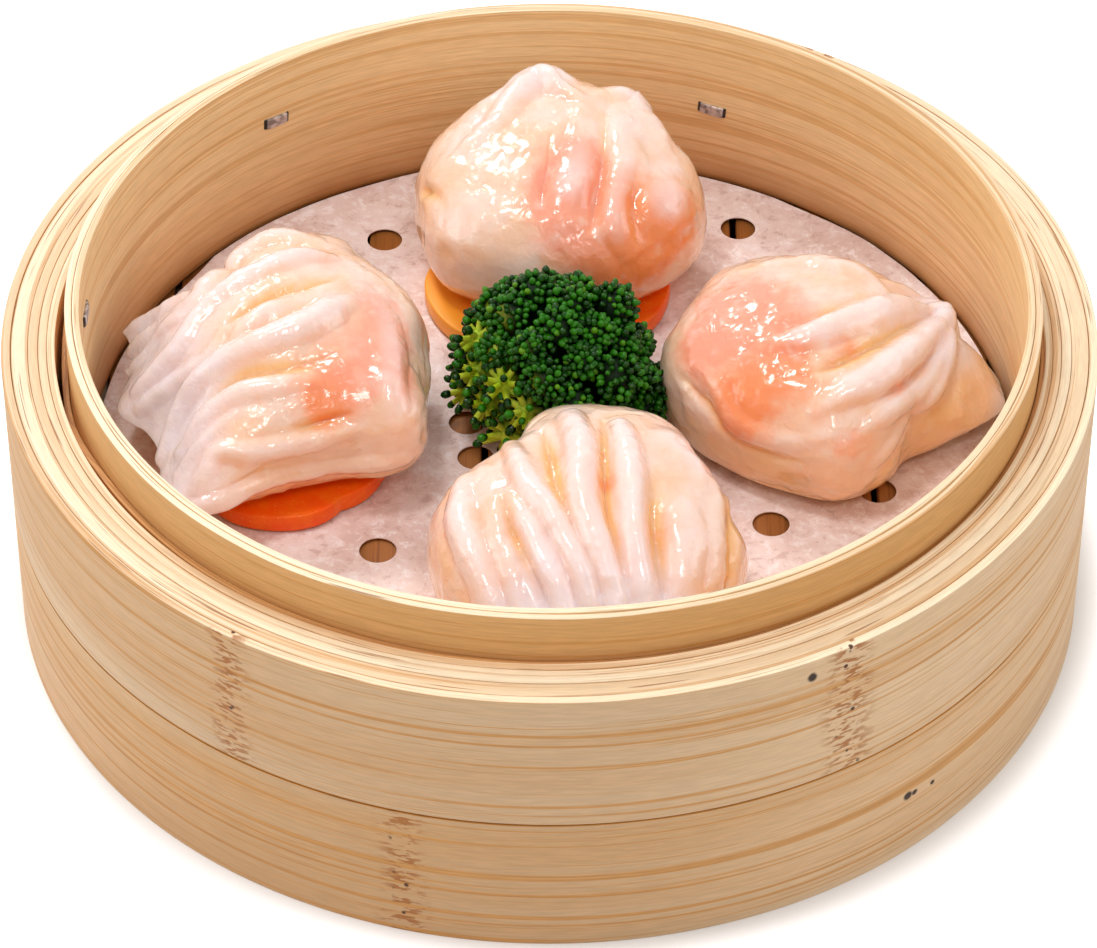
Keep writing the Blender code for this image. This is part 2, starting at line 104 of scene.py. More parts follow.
# %% [markdown]
# ## Small helpers
# Operators act on what is selected, and the loaded frame comes in selected, so each piece
# starts from nothing selected. `settled` applies a piece's place and says which body it
# rides on, which CAD nodes it stands for and which finish it takes.


# %% Selection and finishing helpers
def select_nothing():
    if bpy.context.object and bpy.context.object.mode != "OBJECT":
        bpy.ops.object.mode_set(mode="OBJECT")
    bpy.ops.object.select_all(action="DESELECT")


def only(item):
    select_nothing()
    item.select_set(True)
    bpy.context.view_layer.objects.active = item


def edit_all():
    bpy.ops.object.mode_set(mode="EDIT")
    bpy.ops.mesh.select_all(action="SELECT")


def smoothed(item, sharpest=50):
    """Smooth shading, except where two faces meet at a sharper angle than this, in degrees."""
    only(item)
    bpy.ops.object.shade_smooth_by_angle(angle=math.radians(sharpest))


def joined_up(parts):
    """Several objects made into one, the first of them."""
    only(parts[0])
    for part in parts:
        part.select_set(True)
    bpy.ops.object.join()
    return parts[0]


def apply_modifiers(item):
    only(item)
    for name in [modifier.name for modifier in item.modifiers]:
        bpy.ops.object.modifier_apply(modifier=name)


def settled(item, name, material, stands_for=()):
    """Names a finished piece, applies its place, gives its material and rides it on the basket."""
    only(item)
    bpy.ops.object.transform_apply(location=True, rotation=True, scale=True)
    item.name = name
    item.data.name = name
    item.data.materials.clear()
    item.data.materials.append(material)
    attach(item, "root")
    if stands_for:
        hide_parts(*stands_for)
    print(name, len(item.data.vertices), "points")
    return item


def points_of(item):
    """A mesh's points as an array, one row each."""
    flat = np.zeros(len(item.data.vertices) * 3, np.float32)
    item.data.vertices.foreach_get("co", flat)
    return flat.reshape(-1, 3).astype(float)


def put_points(item, points):
    item.data.vertices.foreach_set("co", np.asarray(points, np.float32).ravel())
    item.data.update()


def keep_on_mesh(item, name, values):
    layer = item.data.attributes.new(name, "FLOAT", "POINT")
    layer.data.foreach_set("value", np.asarray(values, np.float32))


# %% [markdown]
# ## Node helpers
# Procedural materials are built from many small nodes. These helpers place one node and
# join or set its sockets in the same breath, so that a material reads as a recipe.


# %% Node helpers
def colour(red, green, blue):
    """A colour given as it looks on a screen, 0 to 255, turned into the linear values of a shader."""
    parts = [part / 255 for part in (red, green, blue)]
    linear = [((part + 0.055) / 1.055) ** 2.4 if part > 0.04 else part / 12.92 for part in parts]
    return (*linear, 1.0)


def feed(tree, node, inputs):
    """Joins each input to a socket, or sets it to a value."""
    for key, value in inputs.items():
        if isinstance(value, bpy.types.NodeSocket):
            tree.links.new(value, node.inputs[key])
        else:
            node.inputs[key].default_value = value


def place(tree, kind, inputs, **settings):
    node = tree.nodes.new(kind)
    for name, value in settings.items():
        setattr(node, name, value)
    feed(tree, node, inputs)
    return node


def calc(tree, operation, *values):
    return place(tree, "ShaderNodeMath", dict(enumerate(values)), operation=operation).outputs[0]


def times(tree, first, second):
    return calc(tree, "MULTIPLY", first, second)


def rise(tree, value, start, end, low=0.0, high=1.0):
    """A soft step from low to high as value goes from start to end."""
    sockets = {"Value": value, "From Min": start, "From Max": end, "To Min": low, "To Max": high}
    return place(tree, "ShaderNodeMapRange", sockets, interpolation_type="SMOOTHSTEP").outputs[0]


def mixed(tree, share, first, second, mode="MIX"):
    sockets = {0: share, 6: first, 7: second}
    return place(tree, "ShaderNodeMix", sockets, data_type="RGBA", blend_type=mode).outputs[2]


def painted(tree, shade, paint, value, start, end, strength=1.0):
    """The shade so far, with a paint laid over it more and more as value goes from start to end."""
    return mixed(tree, rise(tree, value, start, end, 0.0, strength), shade, paint)


def noisy(tree, vector, scale, detail=2.0, rough=0.5, distortion=0.0):
    sockets = {"Vector": vector, "Scale": scale, "Detail": detail, "Roughness": rough}
    sockets["Distortion"] = distortion
    return place(tree, "ShaderNodeTexNoise", sockets).outputs["Fac"]


def kept(tree, name):
    """A value that was kept on the mesh with keep_on_mesh."""
    return place(tree, "ShaderNodeAttribute", {}, attribute_name=name).outputs["Fac"]


def joined(tree, x, y, z):
    return place(tree, "ShaderNodeCombineXYZ", {0: x, 1: y, 2: z}).outputs[0]


def split(tree, vector):
    return place(tree, "ShaderNodeSeparateXYZ", {0: vector}).outputs


def new_group(name, inputs, outputs):
    group = bpy.data.node_groups.new(name, "ShaderNodeTree")
    for label, kind in inputs:
        group.interface.new_socket(label, in_out="INPUT", socket_type=kind)
    for label, kind in outputs:
        group.interface.new_socket(label, in_out="OUTPUT", socket_type=kind)
    return group, group.nodes.new("NodeGroupInput"), group.nodes.new("NodeGroupOutput")


def use_group(tree, group, inputs):
    return place(tree, "ShaderNodeGroup", inputs, node_tree=group)


def roughen(tree, shader, height, strength, distance):
    """Small relief in the finish: strength is how much of it shows, distance how deep it is."""
    bump = place(tree, "ShaderNodeBump", {"Strength": strength, "Distance": distance, "Height": height})
    feed(tree, shader, {"Normal": bump.outputs[0]})


def new_material(name):
    material = bpy.data.materials.new(name)
    material.use_nodes = True
    tree = material.node_tree
    shader = tree.nodes["Principled BSDF"]
    where = tree.nodes.new("ShaderNodeTexCoord").outputs["Object"]
    return material, tree, shader, where


# %% [markdown]
# ## Bamboo: grain group
# Split bamboo shows long pale and golden fibres along the strip. On a strip bent into a
# ring the fibres follow the circle, so noise is stretched: it changes slowly along x and y
# and fast across height plus radius. The same group serves walls and rim tops, because on
# a wall the radius stands still and on a rim the height does.

# %% Bamboo grain group
VECTOR, FLOAT, COLOUR = "NodeSocketVector", "NodeSocketFloat", "NodeSocketColor"
grain_group, entry, leave = new_group(
    "bamboo_grain",
    [
        ("Along", VECTOR),
        ("Shift", FLOAT),
        ("Pale", COLOUR),
        ("Golden", COLOUR),
        ("Brown", COLOUR),
        ("Streaks", FLOAT),
    ],
    [("Color", COLOUR), ("Roughness", FLOAT), ("Height", FLOAT)],
)
tree = grain_group
x, y, across = split(tree, entry.outputs["Along"])
across = calc(tree, "ADD", across, entry.outputs["Shift"])


def stretched(tree, along, over):
    """The strip's own coordinates, scaled by one number along the fibres and another across them."""
    scaled = [times(tree, part, along) for part in (x, y)]
    return joined(tree, *scaled, times(tree, across, over))


hairs = noisy(tree, stretched(tree, 13.0, 2300.0), 1.0, detail=3.0, rough=0.6)
fibres = noisy(tree, stretched(tree, 6.0, 1150.0), 1.0, detail=2.0, rough=0.55, distortion=0.1)
tone = noisy(tree, stretched(tree, 5.0, 95.0), 1.0, detail=2.0)
dashes = noisy(tree, stretched(tree, 230.0, 3600.0), 1.0, detail=1.0)
hair_lines = rise(tree, hairs, 0.54, 0.68)
fibre_lines = rise(tree, fibres, 0.545, 0.62)
deep_lines = rise(tree, fibres, 0.64, 0.78)
streaks = entry.outputs["Streaks"]
shade = mixed(tree, rise(tree, tone, 0.35, 0.68, 0.0, 0.42), entry.outputs["Pale"], entry.outputs["Golden"])
LINES = [(hair_lines, "Golden", 0.55), (fibre_lines, "Golden", 0.55), (deep_lines, "Brown", 0.25)]
for lines, paint, amount in LINES:
    share = times(tree, lines, times(tree, streaks, amount))
    shade = mixed(tree, share, shade, entry.outputs[paint])
pith = rise(tree, dashes, 0.35, 0.7, 0.94, 1.05)
shade = mixed(tree, 1.0, shade, joined(tree, pith, pith, pith), mode="MULTIPLY")
height = calc(tree, "ADD", hairs, times(tree, dashes, 0.5))
feed(tree, leave, {"Color": shade, "Roughness": rise(tree, hairs, 0.3, 0.7, 0.62, 0.48), "Height": height})
print("bamboo grain nodes:", len(tree.nodes))

# %% [markdown]
# ## Bamboo: joint group
# Where the bamboo stem had a joint, the band shows an upright patch of broken golden
# dashes with a few dark pits. The patch is found by its angle round the basket.

# %% Bamboo joint group
joint_group, entry, leave = new_group(
    "bamboo_joint",
    [("Vector", VECTOR), ("Angle", FLOAT), ("Half Width", FLOAT)],
    [("Dashes", FLOAT), ("Pits", FLOAT)],
)
tree = joint_group
x, y, z = split(tree, entry.outputs["Vector"])
angle = calc(tree, "ARCTAN2", x, times(tree, y, -1.0))
wander = times(tree, calc(tree, "SUBTRACT", noisy(tree, entry.outputs["Vector"], 90.0), 0.5), 0.05)
gap = calc(tree, "ABSOLUTE", calc(tree, "SUBTRACT", calc(tree, "ADD", angle, wander), entry.outputs["Angle"]))
inside = calc(tree, "DIVIDE", gap, entry.outputs["Half Width"])
patch = rise(tree, inside, 1.3, 0.2)
patch_grain = joined(tree, times(tree, x, 420.0), times(tree, y, 420.0), times(tree, z, 1500.0))
broken = noisy(tree, patch_grain, 1.0)
dashes = times(tree, patch, rise(tree, broken, 0.5, 0.6))
cells = place(tree, "ShaderNodeTexVoronoi", {"Vector": entry.outputs["Vector"], "Scale": 430.0})
pits = times(tree, rise(tree, cells.outputs["Distance"], 0.2, 0.12), rise(tree, inside, 0.55, 0.3))
feed(tree, leave, {"Dashes": dashes, "Pits": pits})
print("bamboo joint nodes:", len(tree.nodes))

# %% [markdown]
# ## Bamboo: the materials
# Every bamboo piece uses the same grain with its own colours and its own shift, so that no
# two plies repeat. Faces that look up are the strips' sawn edges, which are paler.


# %% Bamboo material maker
def make_bamboo(
    name, pale, golden, brown, edge_pale, shift,
    streaks=1.0, joints=(), knots=(), straight=False, low_shade=None, front_shade=None,
):
    """One bamboo finish; joints are (angle, half width), knots are (angle, height, half width)."""
    material, tree, shader, where = new_material(name)
    x, y, z = split(tree, where)
    # Painted shade: the band's pale colour is darkened towards the front of the basket, where less light
    # falls than at its sides.
    if front_shade:
        toward_front = calc(tree, "ADD", y, times(tree, x, 0.25))
        pale = mixed(tree, rise(tree, toward_front, -0.06, -0.088, 0.0, 0.8), pale, front_shade)
    flat = joined(tree, x, y, 0.0)
    radius = place(tree, "ShaderNodeVectorMath", {0: flat}, operation="LENGTH").outputs["Value"]
    along = joined(tree, y, z, x) if straight else joined(tree, x, y, calc(tree, "ADD", radius, z))
    up = split(tree, place(tree, "ShaderNodeNewGeometry", {}).outputs["Normal"])[2]
    on_edge = 0.0 if straight else rise(tree, up, 0.4, 0.8)
    face = use_group(
        tree,
        grain_group,
        {
            "Along": along,
            "Shift": shift,
            "Pale": mixed(tree, on_edge, pale, edge_pale),
            "Golden": golden,
            "Brown": brown,
            "Streaks": rise(tree, on_edge, 0.0, 1.0, streaks, 0.8),
        },
    )
    shade = face.outputs["Color"]
    if not straight:
        sawn = joined(tree, times(tree, x, 55.0), times(tree, y, 55.0), times(tree, radius, 2400.0))
        cracks = rise(tree, noisy(tree, sawn, 1.0, detail=1.0), 0.66, 0.74, 0.0, 0.75)
        shade = mixed(tree, times(tree, cracks, on_edge), shade, brown)
    height = face.outputs["Height"]
    for angle, half_width in joints:
        values = {"Vector": where, "Angle": math.radians(angle), "Half Width": half_width}
        joint = use_group(tree, joint_group, values)
        shade = mixed(tree, times(tree, joint.outputs["Dashes"], 0.9), shade, colour(168, 100, 32))
        shade = mixed(tree, joint.outputs["Pits"], shade, colour(84, 46, 18))
        height = calc(tree, "SUBTRACT", height, times(tree, joint.outputs["Pits"], 2.0))
    for angle, level, half_width in knots:
        turn = math.radians(angle)
        knot = (BASKET_RADIUS * math.sin(turn), -BASKET_RADIUS * math.cos(turn), level)
        away = place(tree, "ShaderNodeVectorMath", {0: where, 1: knot}, operation="DISTANCE").outputs["Value"]
        away = calc(tree, "ADD", away, times(tree, noisy(tree, where, 700.0), 0.6 * half_width))
        shade = painted(tree, shade, colour(52, 28, 12), away, 1.5 * half_width, 0.9 * half_width)
    # Painted shade: the wall darkens to a deep brown towards the floor, where shade gathers.
    if low_shade:
        low, high, low_shade_colour = low_shade
        depth = calc(tree, "ADD", z, times(tree, noisy(tree, where, 60.0), 0.006))
        shade = painted(tree, shade, low_shade_colour, depth, high, low, 0.85)
    feed(tree, shader, {"Base Color": shade, "Roughness": face.outputs["Roughness"]})
    roughen(tree, shader, height, 0.35, 0.12 * MM)
    return material


# %% Mix the bamboo finishes
CREAM = colour(255, 234, 200)
BISCUIT = colour(228, 194, 154)
HONEY = colour(206, 142, 64)
TOAST = colour(150, 92, 44)
# The two outer bands take a painted shade colour for the front of the wall.
band_upper_bamboo = make_bamboo(
    "bamboo_band_upper", BISCUIT, HONEY, TOAST, CREAM, 0.11, front_shade=colour(210, 176, 138), streaks=1.4,
    joints=[(-33.0, 0.045), (31.0, 0.05), (148.0, 0.05)], knots=[(26.5, 46.3 * MM, 0.9 * MM)],
)
band_lower_bamboo = make_bamboo(
    "bamboo_band_lower", BISCUIT, HONEY, TOAST, HONEY, 0.37, front_shade=colour(202, 166, 126), streaks=1.4,
    joints=[(-14.8, 0.045), (105.0, 0.05), (-120.0, 0.05)],
    knots=[(39.5, 12.0 * MM, 0.9 * MM), (40.4, 11.9 * MM, 0.6 * MM), (43.0, 11.5 * MM, 0.5 * MM)],
)
ply_bamboo = []
for index in range(4):
    shift, streaks = 0.5 + 0.13 * index, 0.8 + 0.15 * index
    ply_name = f"bamboo_ply_{index + 1}"
    ply_bamboo.append(make_bamboo(ply_name, BISCUIT, HONEY, TOAST, CREAM, shift, streaks=streaks))
worn_bamboo = make_bamboo("bamboo_worn", HONEY, TOAST, TOAST, colour(226, 170, 106), 0.83)
hoop_outer_bamboo = make_bamboo("bamboo_hoop_outer", colour(222, 170, 108), HONEY, TOAST, CREAM, 1.31)
# The inner hoop's wall is painted darker towards the floor, as shade.
hoop_inner_bamboo = make_bamboo(
    "bamboo_hoop_inner",
    colour(246, 210, 156),
    colour(224, 168, 100),
    TOAST,
    CREAM,
    1.57,
    streaks=1.1,
    low_shade=(FLOOR_TOP, FLOOR_TOP + 12 * MM, colour(176, 110, 48)),
)
slat_bamboo = make_bamboo(
    "bamboo_slats", colour(168, 104, 44), colour(134, 74, 20), colour(84, 40, 8), CREAM, 0.0, straight=True
)
print("bamboo finishes:", 6 + len(ply_bamboo))

# %% [markdown]
# ## Bamboo plies
# A steamer's wall is thin bamboo strips bent into rings, one inside the other. Each ring is
# drawn as its cross-section, a plane whose corners are bevelled, and spun round the
# basket's axis, as a turner would sweep a profile. A little noise then moves the ring in
# and out and up and down, because no bent strip is truly round.

# %% Spin a ply
PLY_STEPS = 360
SOFT_CORNER = 0.13 * MM


def spin_ply(inner, outer, bottom, top, middle=0.0):
    select_nothing()
    centre = ((inner + outer) / 2, 0.0, (bottom + top) / 2)
    bpy.ops.mesh.primitive_plane_add(size=1.0, location=centre, rotation=(math.pi / 2, 0.0, 0.0))
    ply = bpy.context.object
    ply.scale = (outer - inner, top - bottom, 1.0)
    bpy.ops.object.transform_apply(location=True, rotation=True, scale=True)
    edit_all()
    bpy.ops.mesh.bevel(offset=SOFT_CORNER, segments=2, affect="VERTICES")
    bpy.ops.mesh.delete(type="ONLY_FACE")
    bpy.ops.mesh.select_all(action="SELECT")
    bpy.ops.mesh.spin(steps=PLY_STEPS, angle=2 * math.pi, center=(0.0, 0.0, 0.0), axis=(0.0, 0.0, 1.0))
    bpy.ops.mesh.select_all(action="SELECT")
    bpy.ops.mesh.remove_doubles(threshold=1e-6)
    bpy.ops.mesh.normals_make_consistent(inside=False)
    bpy.ops.object.mode_set(mode="OBJECT")
    ply.location = (middle, 0.0, 0.0)
    bpy.ops.object.transform_apply(location=True)
    return ply


DRIFT_WAVES, LIFT_WAVES = 2.5, 4


def wander_ply(ply, seed, sideways, upwards, dip=None):
    """Moves a ply's points in and out and its top up and down; dip sinks its top near one angle."""
    points = points_of(ply)
    top = points[:, 2].max()
    bottom = points[:, 2].min()
    for index, (x, y, z) in enumerate(points):
        turn = math.atan2(y, x)
        drift = noise.noise(Vector((DRIFT_WAVES * math.cos(turn), DRIFT_WAVES * math.sin(turn), 0.4)))
        lift = noise.noise(Vector((LIFT_WAVES * math.cos(turn), LIFT_WAVES * math.sin(turn), seed + 9)))
        push = sideways * drift
        points[index, 0] += push * math.cos(turn)
        points[index, 1] += push * math.sin(turn)
        share = (z - bottom) / (top - bottom)
        if dip:
            angle, spread, depth = dip
            gap = (math.degrees(turn) - angle + 180) % 360 - 180
            points[index, 2] -= depth * math.exp(-((gap / spread) ** 2)) * share
        points[index, 2] += upwards * lift * share
    put_points(ply, points)
    smoothed(ply)


# %% Make the wall's plies
UPPER_BAND_FOOT = (BAND_SEAM + SEAM_GAP) / MM
WALL_PLIES = [
    # name, inner, outer, bottom, top (mm), finish, CAD nodes
    ("band_upper", 83.6, 85.0, UPPER_BAND_FOOT, 49.5, band_upper_bamboo, ["outer_band_upper"]),
    ("band_lower", 83.6, 85.0, 0.0, BAND_SEAM / MM, band_lower_bamboo, ["outer_band_lower"]),
    ("band_backing", 80.9, 83.5, 1.5, 49.4, ply_bamboo[0], []),
    ("packing_ply_1", 79.35, 80.85, 3.0, 49.5, ply_bamboo[1], ["wrap_outer"]),
    ("packing_ply_2", 78.0, 79.3, 3.0, 49.35, ply_bamboo[2], []),
    ("packing_ply_3", 76.7, 77.95, 3.0, 49.45, ply_bamboo[3], ["wrap_inner"]),
]
for index, (name, inner, outer, bottom, top, finish, nodes) in enumerate(WALL_PLIES):
    ply = spin_ply(inner * MM, outer * MM, bottom * MM, top * MM)
    wander_ply(ply, 3.7 * index, 0.12 * MM, 0.1 * MM)
    settled(ply, name, finish, nodes)

# %% [markdown]
# ## Inner hoop and lower hoop
# The inner hoop stands about 7.5 mm above the rim and holds the next basket in place. It is
# two plies bent together. Beside it runs a loose, worn strip whose top sinks on the left. A
# second hoop under the floor carries the slats.

# %% Make the hoops
HOOP_GAP = 0.08 * MM
hoop_parts = [
    ("hoop_inner", HOOP_RADIUS, HOOP_RADIUS + HOOP_PLY, HOOP_TOP, hoop_inner_bamboo, "hoop_inner_ply"),
    (
        "hoop_outer",
        HOOP_RADIUS + HOOP_PLY + HOOP_GAP,
        HOOP_RADIUS + 2 * HOOP_PLY + HOOP_GAP,
        HOOP_TOP - 0.15 * MM,
        hoop_outer_bamboo,
        "hoop_outer_ply",
    ),
]
for index, (name, inner, outer, top, finish, node) in enumerate(hoop_parts):
    hoop = spin_ply(inner, outer, HOOP_FOOT, top, HOOP_MIDDLE)
    wander_ply(hoop, 40 + 3 * index, 0.05 * MM, 0.25 * MM)
    settled(hoop, name, finish, [node])

WORN_PLY = 1.0 * MM
WORN_INNER = HOOP_RADIUS + 2.4 * MM
WORN_DIP = (190.0, 11.0, 5 * MM)  # angle, spread (degrees), depth
worn_strip = spin_ply(WORN_INNER, WORN_INNER + WORN_PLY, 3 * MM, RIM_TOP - 0.7 * MM, HOOP_MIDDLE)
wander_ply(worn_strip, 61.0, 0.05 * MM, 0.2 * MM, dip=WORN_DIP)
settled(worn_strip, "packing_ply_worn", worn_bamboo)

lower_low, lower_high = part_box("lower_hoop")
lower_hoop = spin_ply(HOOP_RADIUS, lower_high[0], lower_low[2], lower_high[2])
wander_ply(lower_hoop, 52.0, 0.05 * MM, 0.1 * MM)
settled(lower_hoop, "hoop_under_floor", hoop_outer_bamboo, ["lower_hoop"])

# %% [markdown]
# ## Floor
# Fourteen flat slats lie side by side, a hair apart, so that steam comes up between them.
# One slat is made from a cube with its edges bevelled, then copied, and each copy's ends are
# drawn in to the circle of the wall. Two bearers cross under them.

# %% Make the floor
SLAT_ROUNDING = 0.5 * MM
FLOOR_RADIUS = math.hypot(slat_high[1], slat_low[0])


def bevelled_bar(size, rounding):
    select_nothing()
    bpy.ops.mesh.primitive_cube_add(size=1.0)
    bar = bpy.context.object
    bar.scale = size
    bpy.ops.object.transform_apply(scale=True)
    edit_all()
    bpy.ops.mesh.bevel(offset=rounding, segments=2, affect="EDGES")
    bpy.ops.object.mode_set(mode="OBJECT")
    smoothed(bar, 40)
    return bar


def copy_of(item):
    twin = item.copy()
    twin.data = item.data.copy()
    bpy.context.scene.collection.objects.link(twin)
    return twin


slat_nodes = sorted(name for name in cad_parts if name.startswith("floor_slat"))
pattern_slat = bevelled_bar((slat_high[0] - slat_low[0], 1.0, slat_high[2] - slat_low[2]), SLAT_ROUNDING)
for name in slat_nodes:
    low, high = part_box(name)
    slat = copy_of(pattern_slat)
    points = points_of(slat)
    points[:, 0] += (low[0] + high[0]) / 2
    points[:, 2] += (low[2] + high[2]) / 2
    reach = np.sqrt(FLOOR_RADIUS**2 - points[:, 0] ** 2)
    points[:, 1] *= 2 * reach
    put_points(slat, points)
    settled(slat, name.replace("floor_slat", "slat"), slat_bamboo, [name])
bpy.data.objects.remove(pattern_slat)

for name in ("cross_bar_front", "cross_bar_back"):
    low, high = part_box(name)
    bar = bevelled_bar([high[axis] - low[axis] for axis in range(3)], SLAT_ROUNDING)
    bar.location = [(low[axis] + high[axis]) / 2 for axis in range(3)]
    settled(bar, name.replace("cross_bar", "bearer"), slat_bamboo, [name])

# %% [markdown]
# ## Paper liner
# The paper is thin, fibrous and a little see-through, with punched holes. A fine grid is
# thickened, cut to its outline and punched with Boolean cuts, so the sheet has enough
# points to ripple. The ripples stay low under the food.

# %% Cut and punch the paper
PAPER_RADIUS = (paper_high[0] - paper_low[0]) / 2
PAPER_THICKNESS = 0.18 * MM
PAPER_CUT_ANGLE = math.radians(151.0)
PAPER_CUT_DISTANCE = 71.3 * MM
PUNCH_RADIUS = 2.9 * MM
CUTTER_DEPTH = 4 * MM
PAPER_CELLS = 110
FLAT_SHARE = 0.8  # of the radius, past which the paper ripples more
MIDDLE_RIPPLE, EDGE_RIPPLE = 0.10 * MM, 0.35 * MM
PUNCH_CENTRES = [
    (-27.5, 50.6),
    (31.4, 53.9),
    (-26.4, -26.8),
    (34.5, -20.3),
    (51.5, -12.4),
    (-13.1, 3.7),
    (-11.6, -4.8),
]

select_nothing()
paper_height = (paper_low[2] + paper_high[2]) / 2
bpy.ops.mesh.primitive_grid_add(
    x_subdivisions=PAPER_CELLS, y_subdivisions=PAPER_CELLS, size=2.1 * PAPER_RADIUS
)
paper = bpy.context.object
paper.location = (HOOP_MIDDLE, 0.0, paper_height)
bpy.ops.object.transform_apply(location=True)
thicken = paper.modifiers.new("thickness", "SOLIDIFY")
thicken.thickness = PAPER_THICKNESS
thicken.offset = 0.0
apply_modifiers(paper)


def cutter(vertices, radius, centre, depth):
    select_nothing()
    bpy.ops.mesh.primitive_cylinder_add(vertices=vertices, radius=radius, depth=depth, location=centre)
    return bpy.context.object


def cut(item, tool, operation):
    boolean = item.modifiers.new("cut", "BOOLEAN")
    boolean.operation = operation
    boolean.object = tool
    apply_modifiers(item)
    bpy.data.objects.remove(tool)


trim = cutter(240, PAPER_RADIUS, (HOOP_MIDDLE, 0.0, paper_height), CUTTER_DEPTH)
points = points_of(trim)
facing = points[:, 0] * math.cos(PAPER_CUT_ANGLE) + points[:, 1] * math.sin(PAPER_CUT_ANGLE)
over = np.clip(facing - PAPER_CUT_DISTANCE, 0.0, None)
points[:, 0] -= over * math.cos(PAPER_CUT_ANGLE)
points[:, 1] -= over * math.sin(PAPER_CUT_ANGLE)
put_points(trim, points)
cut(paper, trim, "INTERSECT")
punches = [cutter(40, PUNCH_RADIUS, (x * MM, y * MM, paper_height), CUTTER_DEPTH) for x, y in PUNCH_CENTRES]
cut(paper, joined_up(punches), "DIFFERENCE")

points = points_of(paper)
for index, (x, y, z) in enumerate(points):
    ripple = noise.noise(Vector((x * 45, y * 45, 2.0))) + 0.6 * noise.noise(Vector((x * 130, y * 130, 5.0)))
    out = math.hypot(x - HOOP_MIDDLE, y) / PAPER_RADIUS
    past_flat = max(0.0, out - FLAT_SHARE) / (1 - FLAT_SHARE)
    points[index, 2] += (MIDDLE_RIPPLE + EDGE_RIPPLE * past_flat) * (ripple + 0.5)
put_points(paper, points)
smoothed(paper)
print("paper:", len(points), "points,", len(PUNCH_CENTRES), "holes")

# %% Paper finish
paper_finish, tree, shader, where = new_material("steaming_paper")
clouds = noisy(tree, where, 70.0, detail=4.0, rough=0.6)
threads = noisy(tree, where, 430.0, detail=6.0, rough=0.75, distortion=0.4)
shade = mixed(tree, rise(tree, clouds, 0.35, 0.65), colour(240, 222, 218), colour(222, 194, 186))
# Painted light: the paper is made lighter and warmer towards the front, as light thrown back from the hoop.
shade = painted(tree, shade, colour(255, 236, 220), split(tree, where)[1], -0.02, -0.07, 0.8)
shade = painted(tree, shade, colour(252, 244, 244), threads, 0.5, 0.64, 0.7)
shade = painted(tree, shade, colour(198, 164, 156), threads, 0.46, 0.36, 0.6)
feed(tree, shader, {"Base Color": shade, "Roughness": 0.7})
roughen(tree, shader, threads, 0.5, 0.2 * MM)
settled(paper, "paper_sheet", paper_finish, ["paper_liner"])

# %% [markdown]
# ## Staples
# Three wire staples pin the hoop's overlap. Each is a short flattened wire whose two ends
# turn into the bamboo, so a bar is bevelled and its end faces are pushed outwards.

# %% Make the staples
steel_finish, tree, shader, where = new_material("staple_wire")
tarnish = noisy(tree, where, 900.0, detail=3.0)
shade = mixed(tree, rise(tree, tarnish, 0.4, 0.65), colour(214, 202, 198), colour(140, 126, 120))
# Painted shade: the wire's ends, where it goes into the bamboo, are painted near-black and not metallic, as
# the shade of the holes.
shade = painted(tree, shade, colour(24, 14, 8), kept(tree, "bend"), 0.74, 0.86)
metal = rise(tree, kept(tree, "bend"), 0.74, 0.86, 0.5, 0.0)
dull = rise(tree, tarnish, 0.3, 0.7, 0.35, 0.55)
feed(tree, shader, {"Base Color": shade, "Metallic": metal, "Roughness": dull})

STAPLE_LENGTH, STAPLE_DEPTH, STAPLE_WIDTH = 5.0 * MM, 0.6 * MM, 1.9 * MM
STAPLE_ROUNDING = 0.22 * MM
STAPLE_BEND = 0.35 * MM
BEND_START = 0.7  # of the way from the middle to an end
STAPLE_SINK = 0.25 * MM
# name, angle, height (mm), tilt (degrees)
STAPLES = [("staple_1", 128.8, 46.2, -4.0), ("staple_2", 68.8, 40.4, -4.0), ("staple_3", 178.0, 49.3, 0.0)]
for name, angle, height, tilt in STAPLES:
    staple = bevelled_bar((STAPLE_LENGTH, STAPLE_DEPTH, STAPLE_WIDTH), STAPLE_ROUNDING)
    edit_all()
    bpy.ops.mesh.subdivide(number_cuts=5)
    bpy.ops.object.mode_set(mode="OBJECT")
    points = points_of(staple)
    out = np.abs(points[:, 0]) / (STAPLE_LENGTH / 2)
    points[:, 1] += STAPLE_BEND * np.clip(out - BEND_START, 0, 1) / (1 - BEND_START)
    put_points(staple, points)
    keep_on_mesh(staple, "bend", out)
    reach = HOOP_RADIUS - STAPLE_SINK
    staple.location = (
        HOOP_MIDDLE + reach * math.cos(math.radians(angle)),
        reach * math.sin(math.radians(angle)),
        height * MM,
    )
    staple.rotation_euler = (0.0, math.radians(-tilt), math.radians(angle - 90))
    settled(staple, name.replace("staple", "staple_wire"), steel_finish, [name])

# %% [markdown]
# ## Carrot slices
# A carrot is notched along its length and sliced, so each slice is a flower with five round
# petals. A filled circle is drawn in at five places, extruded to the slice's thickness and
# bevelled at its edges. The cut face is mottled, with fine pale specks, and the slice at the
# back is painted paler and yellower on its left, as light falling on that side.

# %% Carrot finish
carrot_finish, tree, shader, where = new_material("carrot_flesh")
spots = noisy(tree, where, 240.0, detail=4.0, rough=0.6)
fine = noisy(tree, where, 1400.0, detail=2.0)
shade = mixed(tree, rise(tree, spots, 0.35, 0.7), colour(250, 90, 2), colour(250, 112, 8))
shade = painted(tree, shade, colour(255, 170, 90), fine, 0.62, 0.75, 0.5)
x, y, z = split(tree, where)
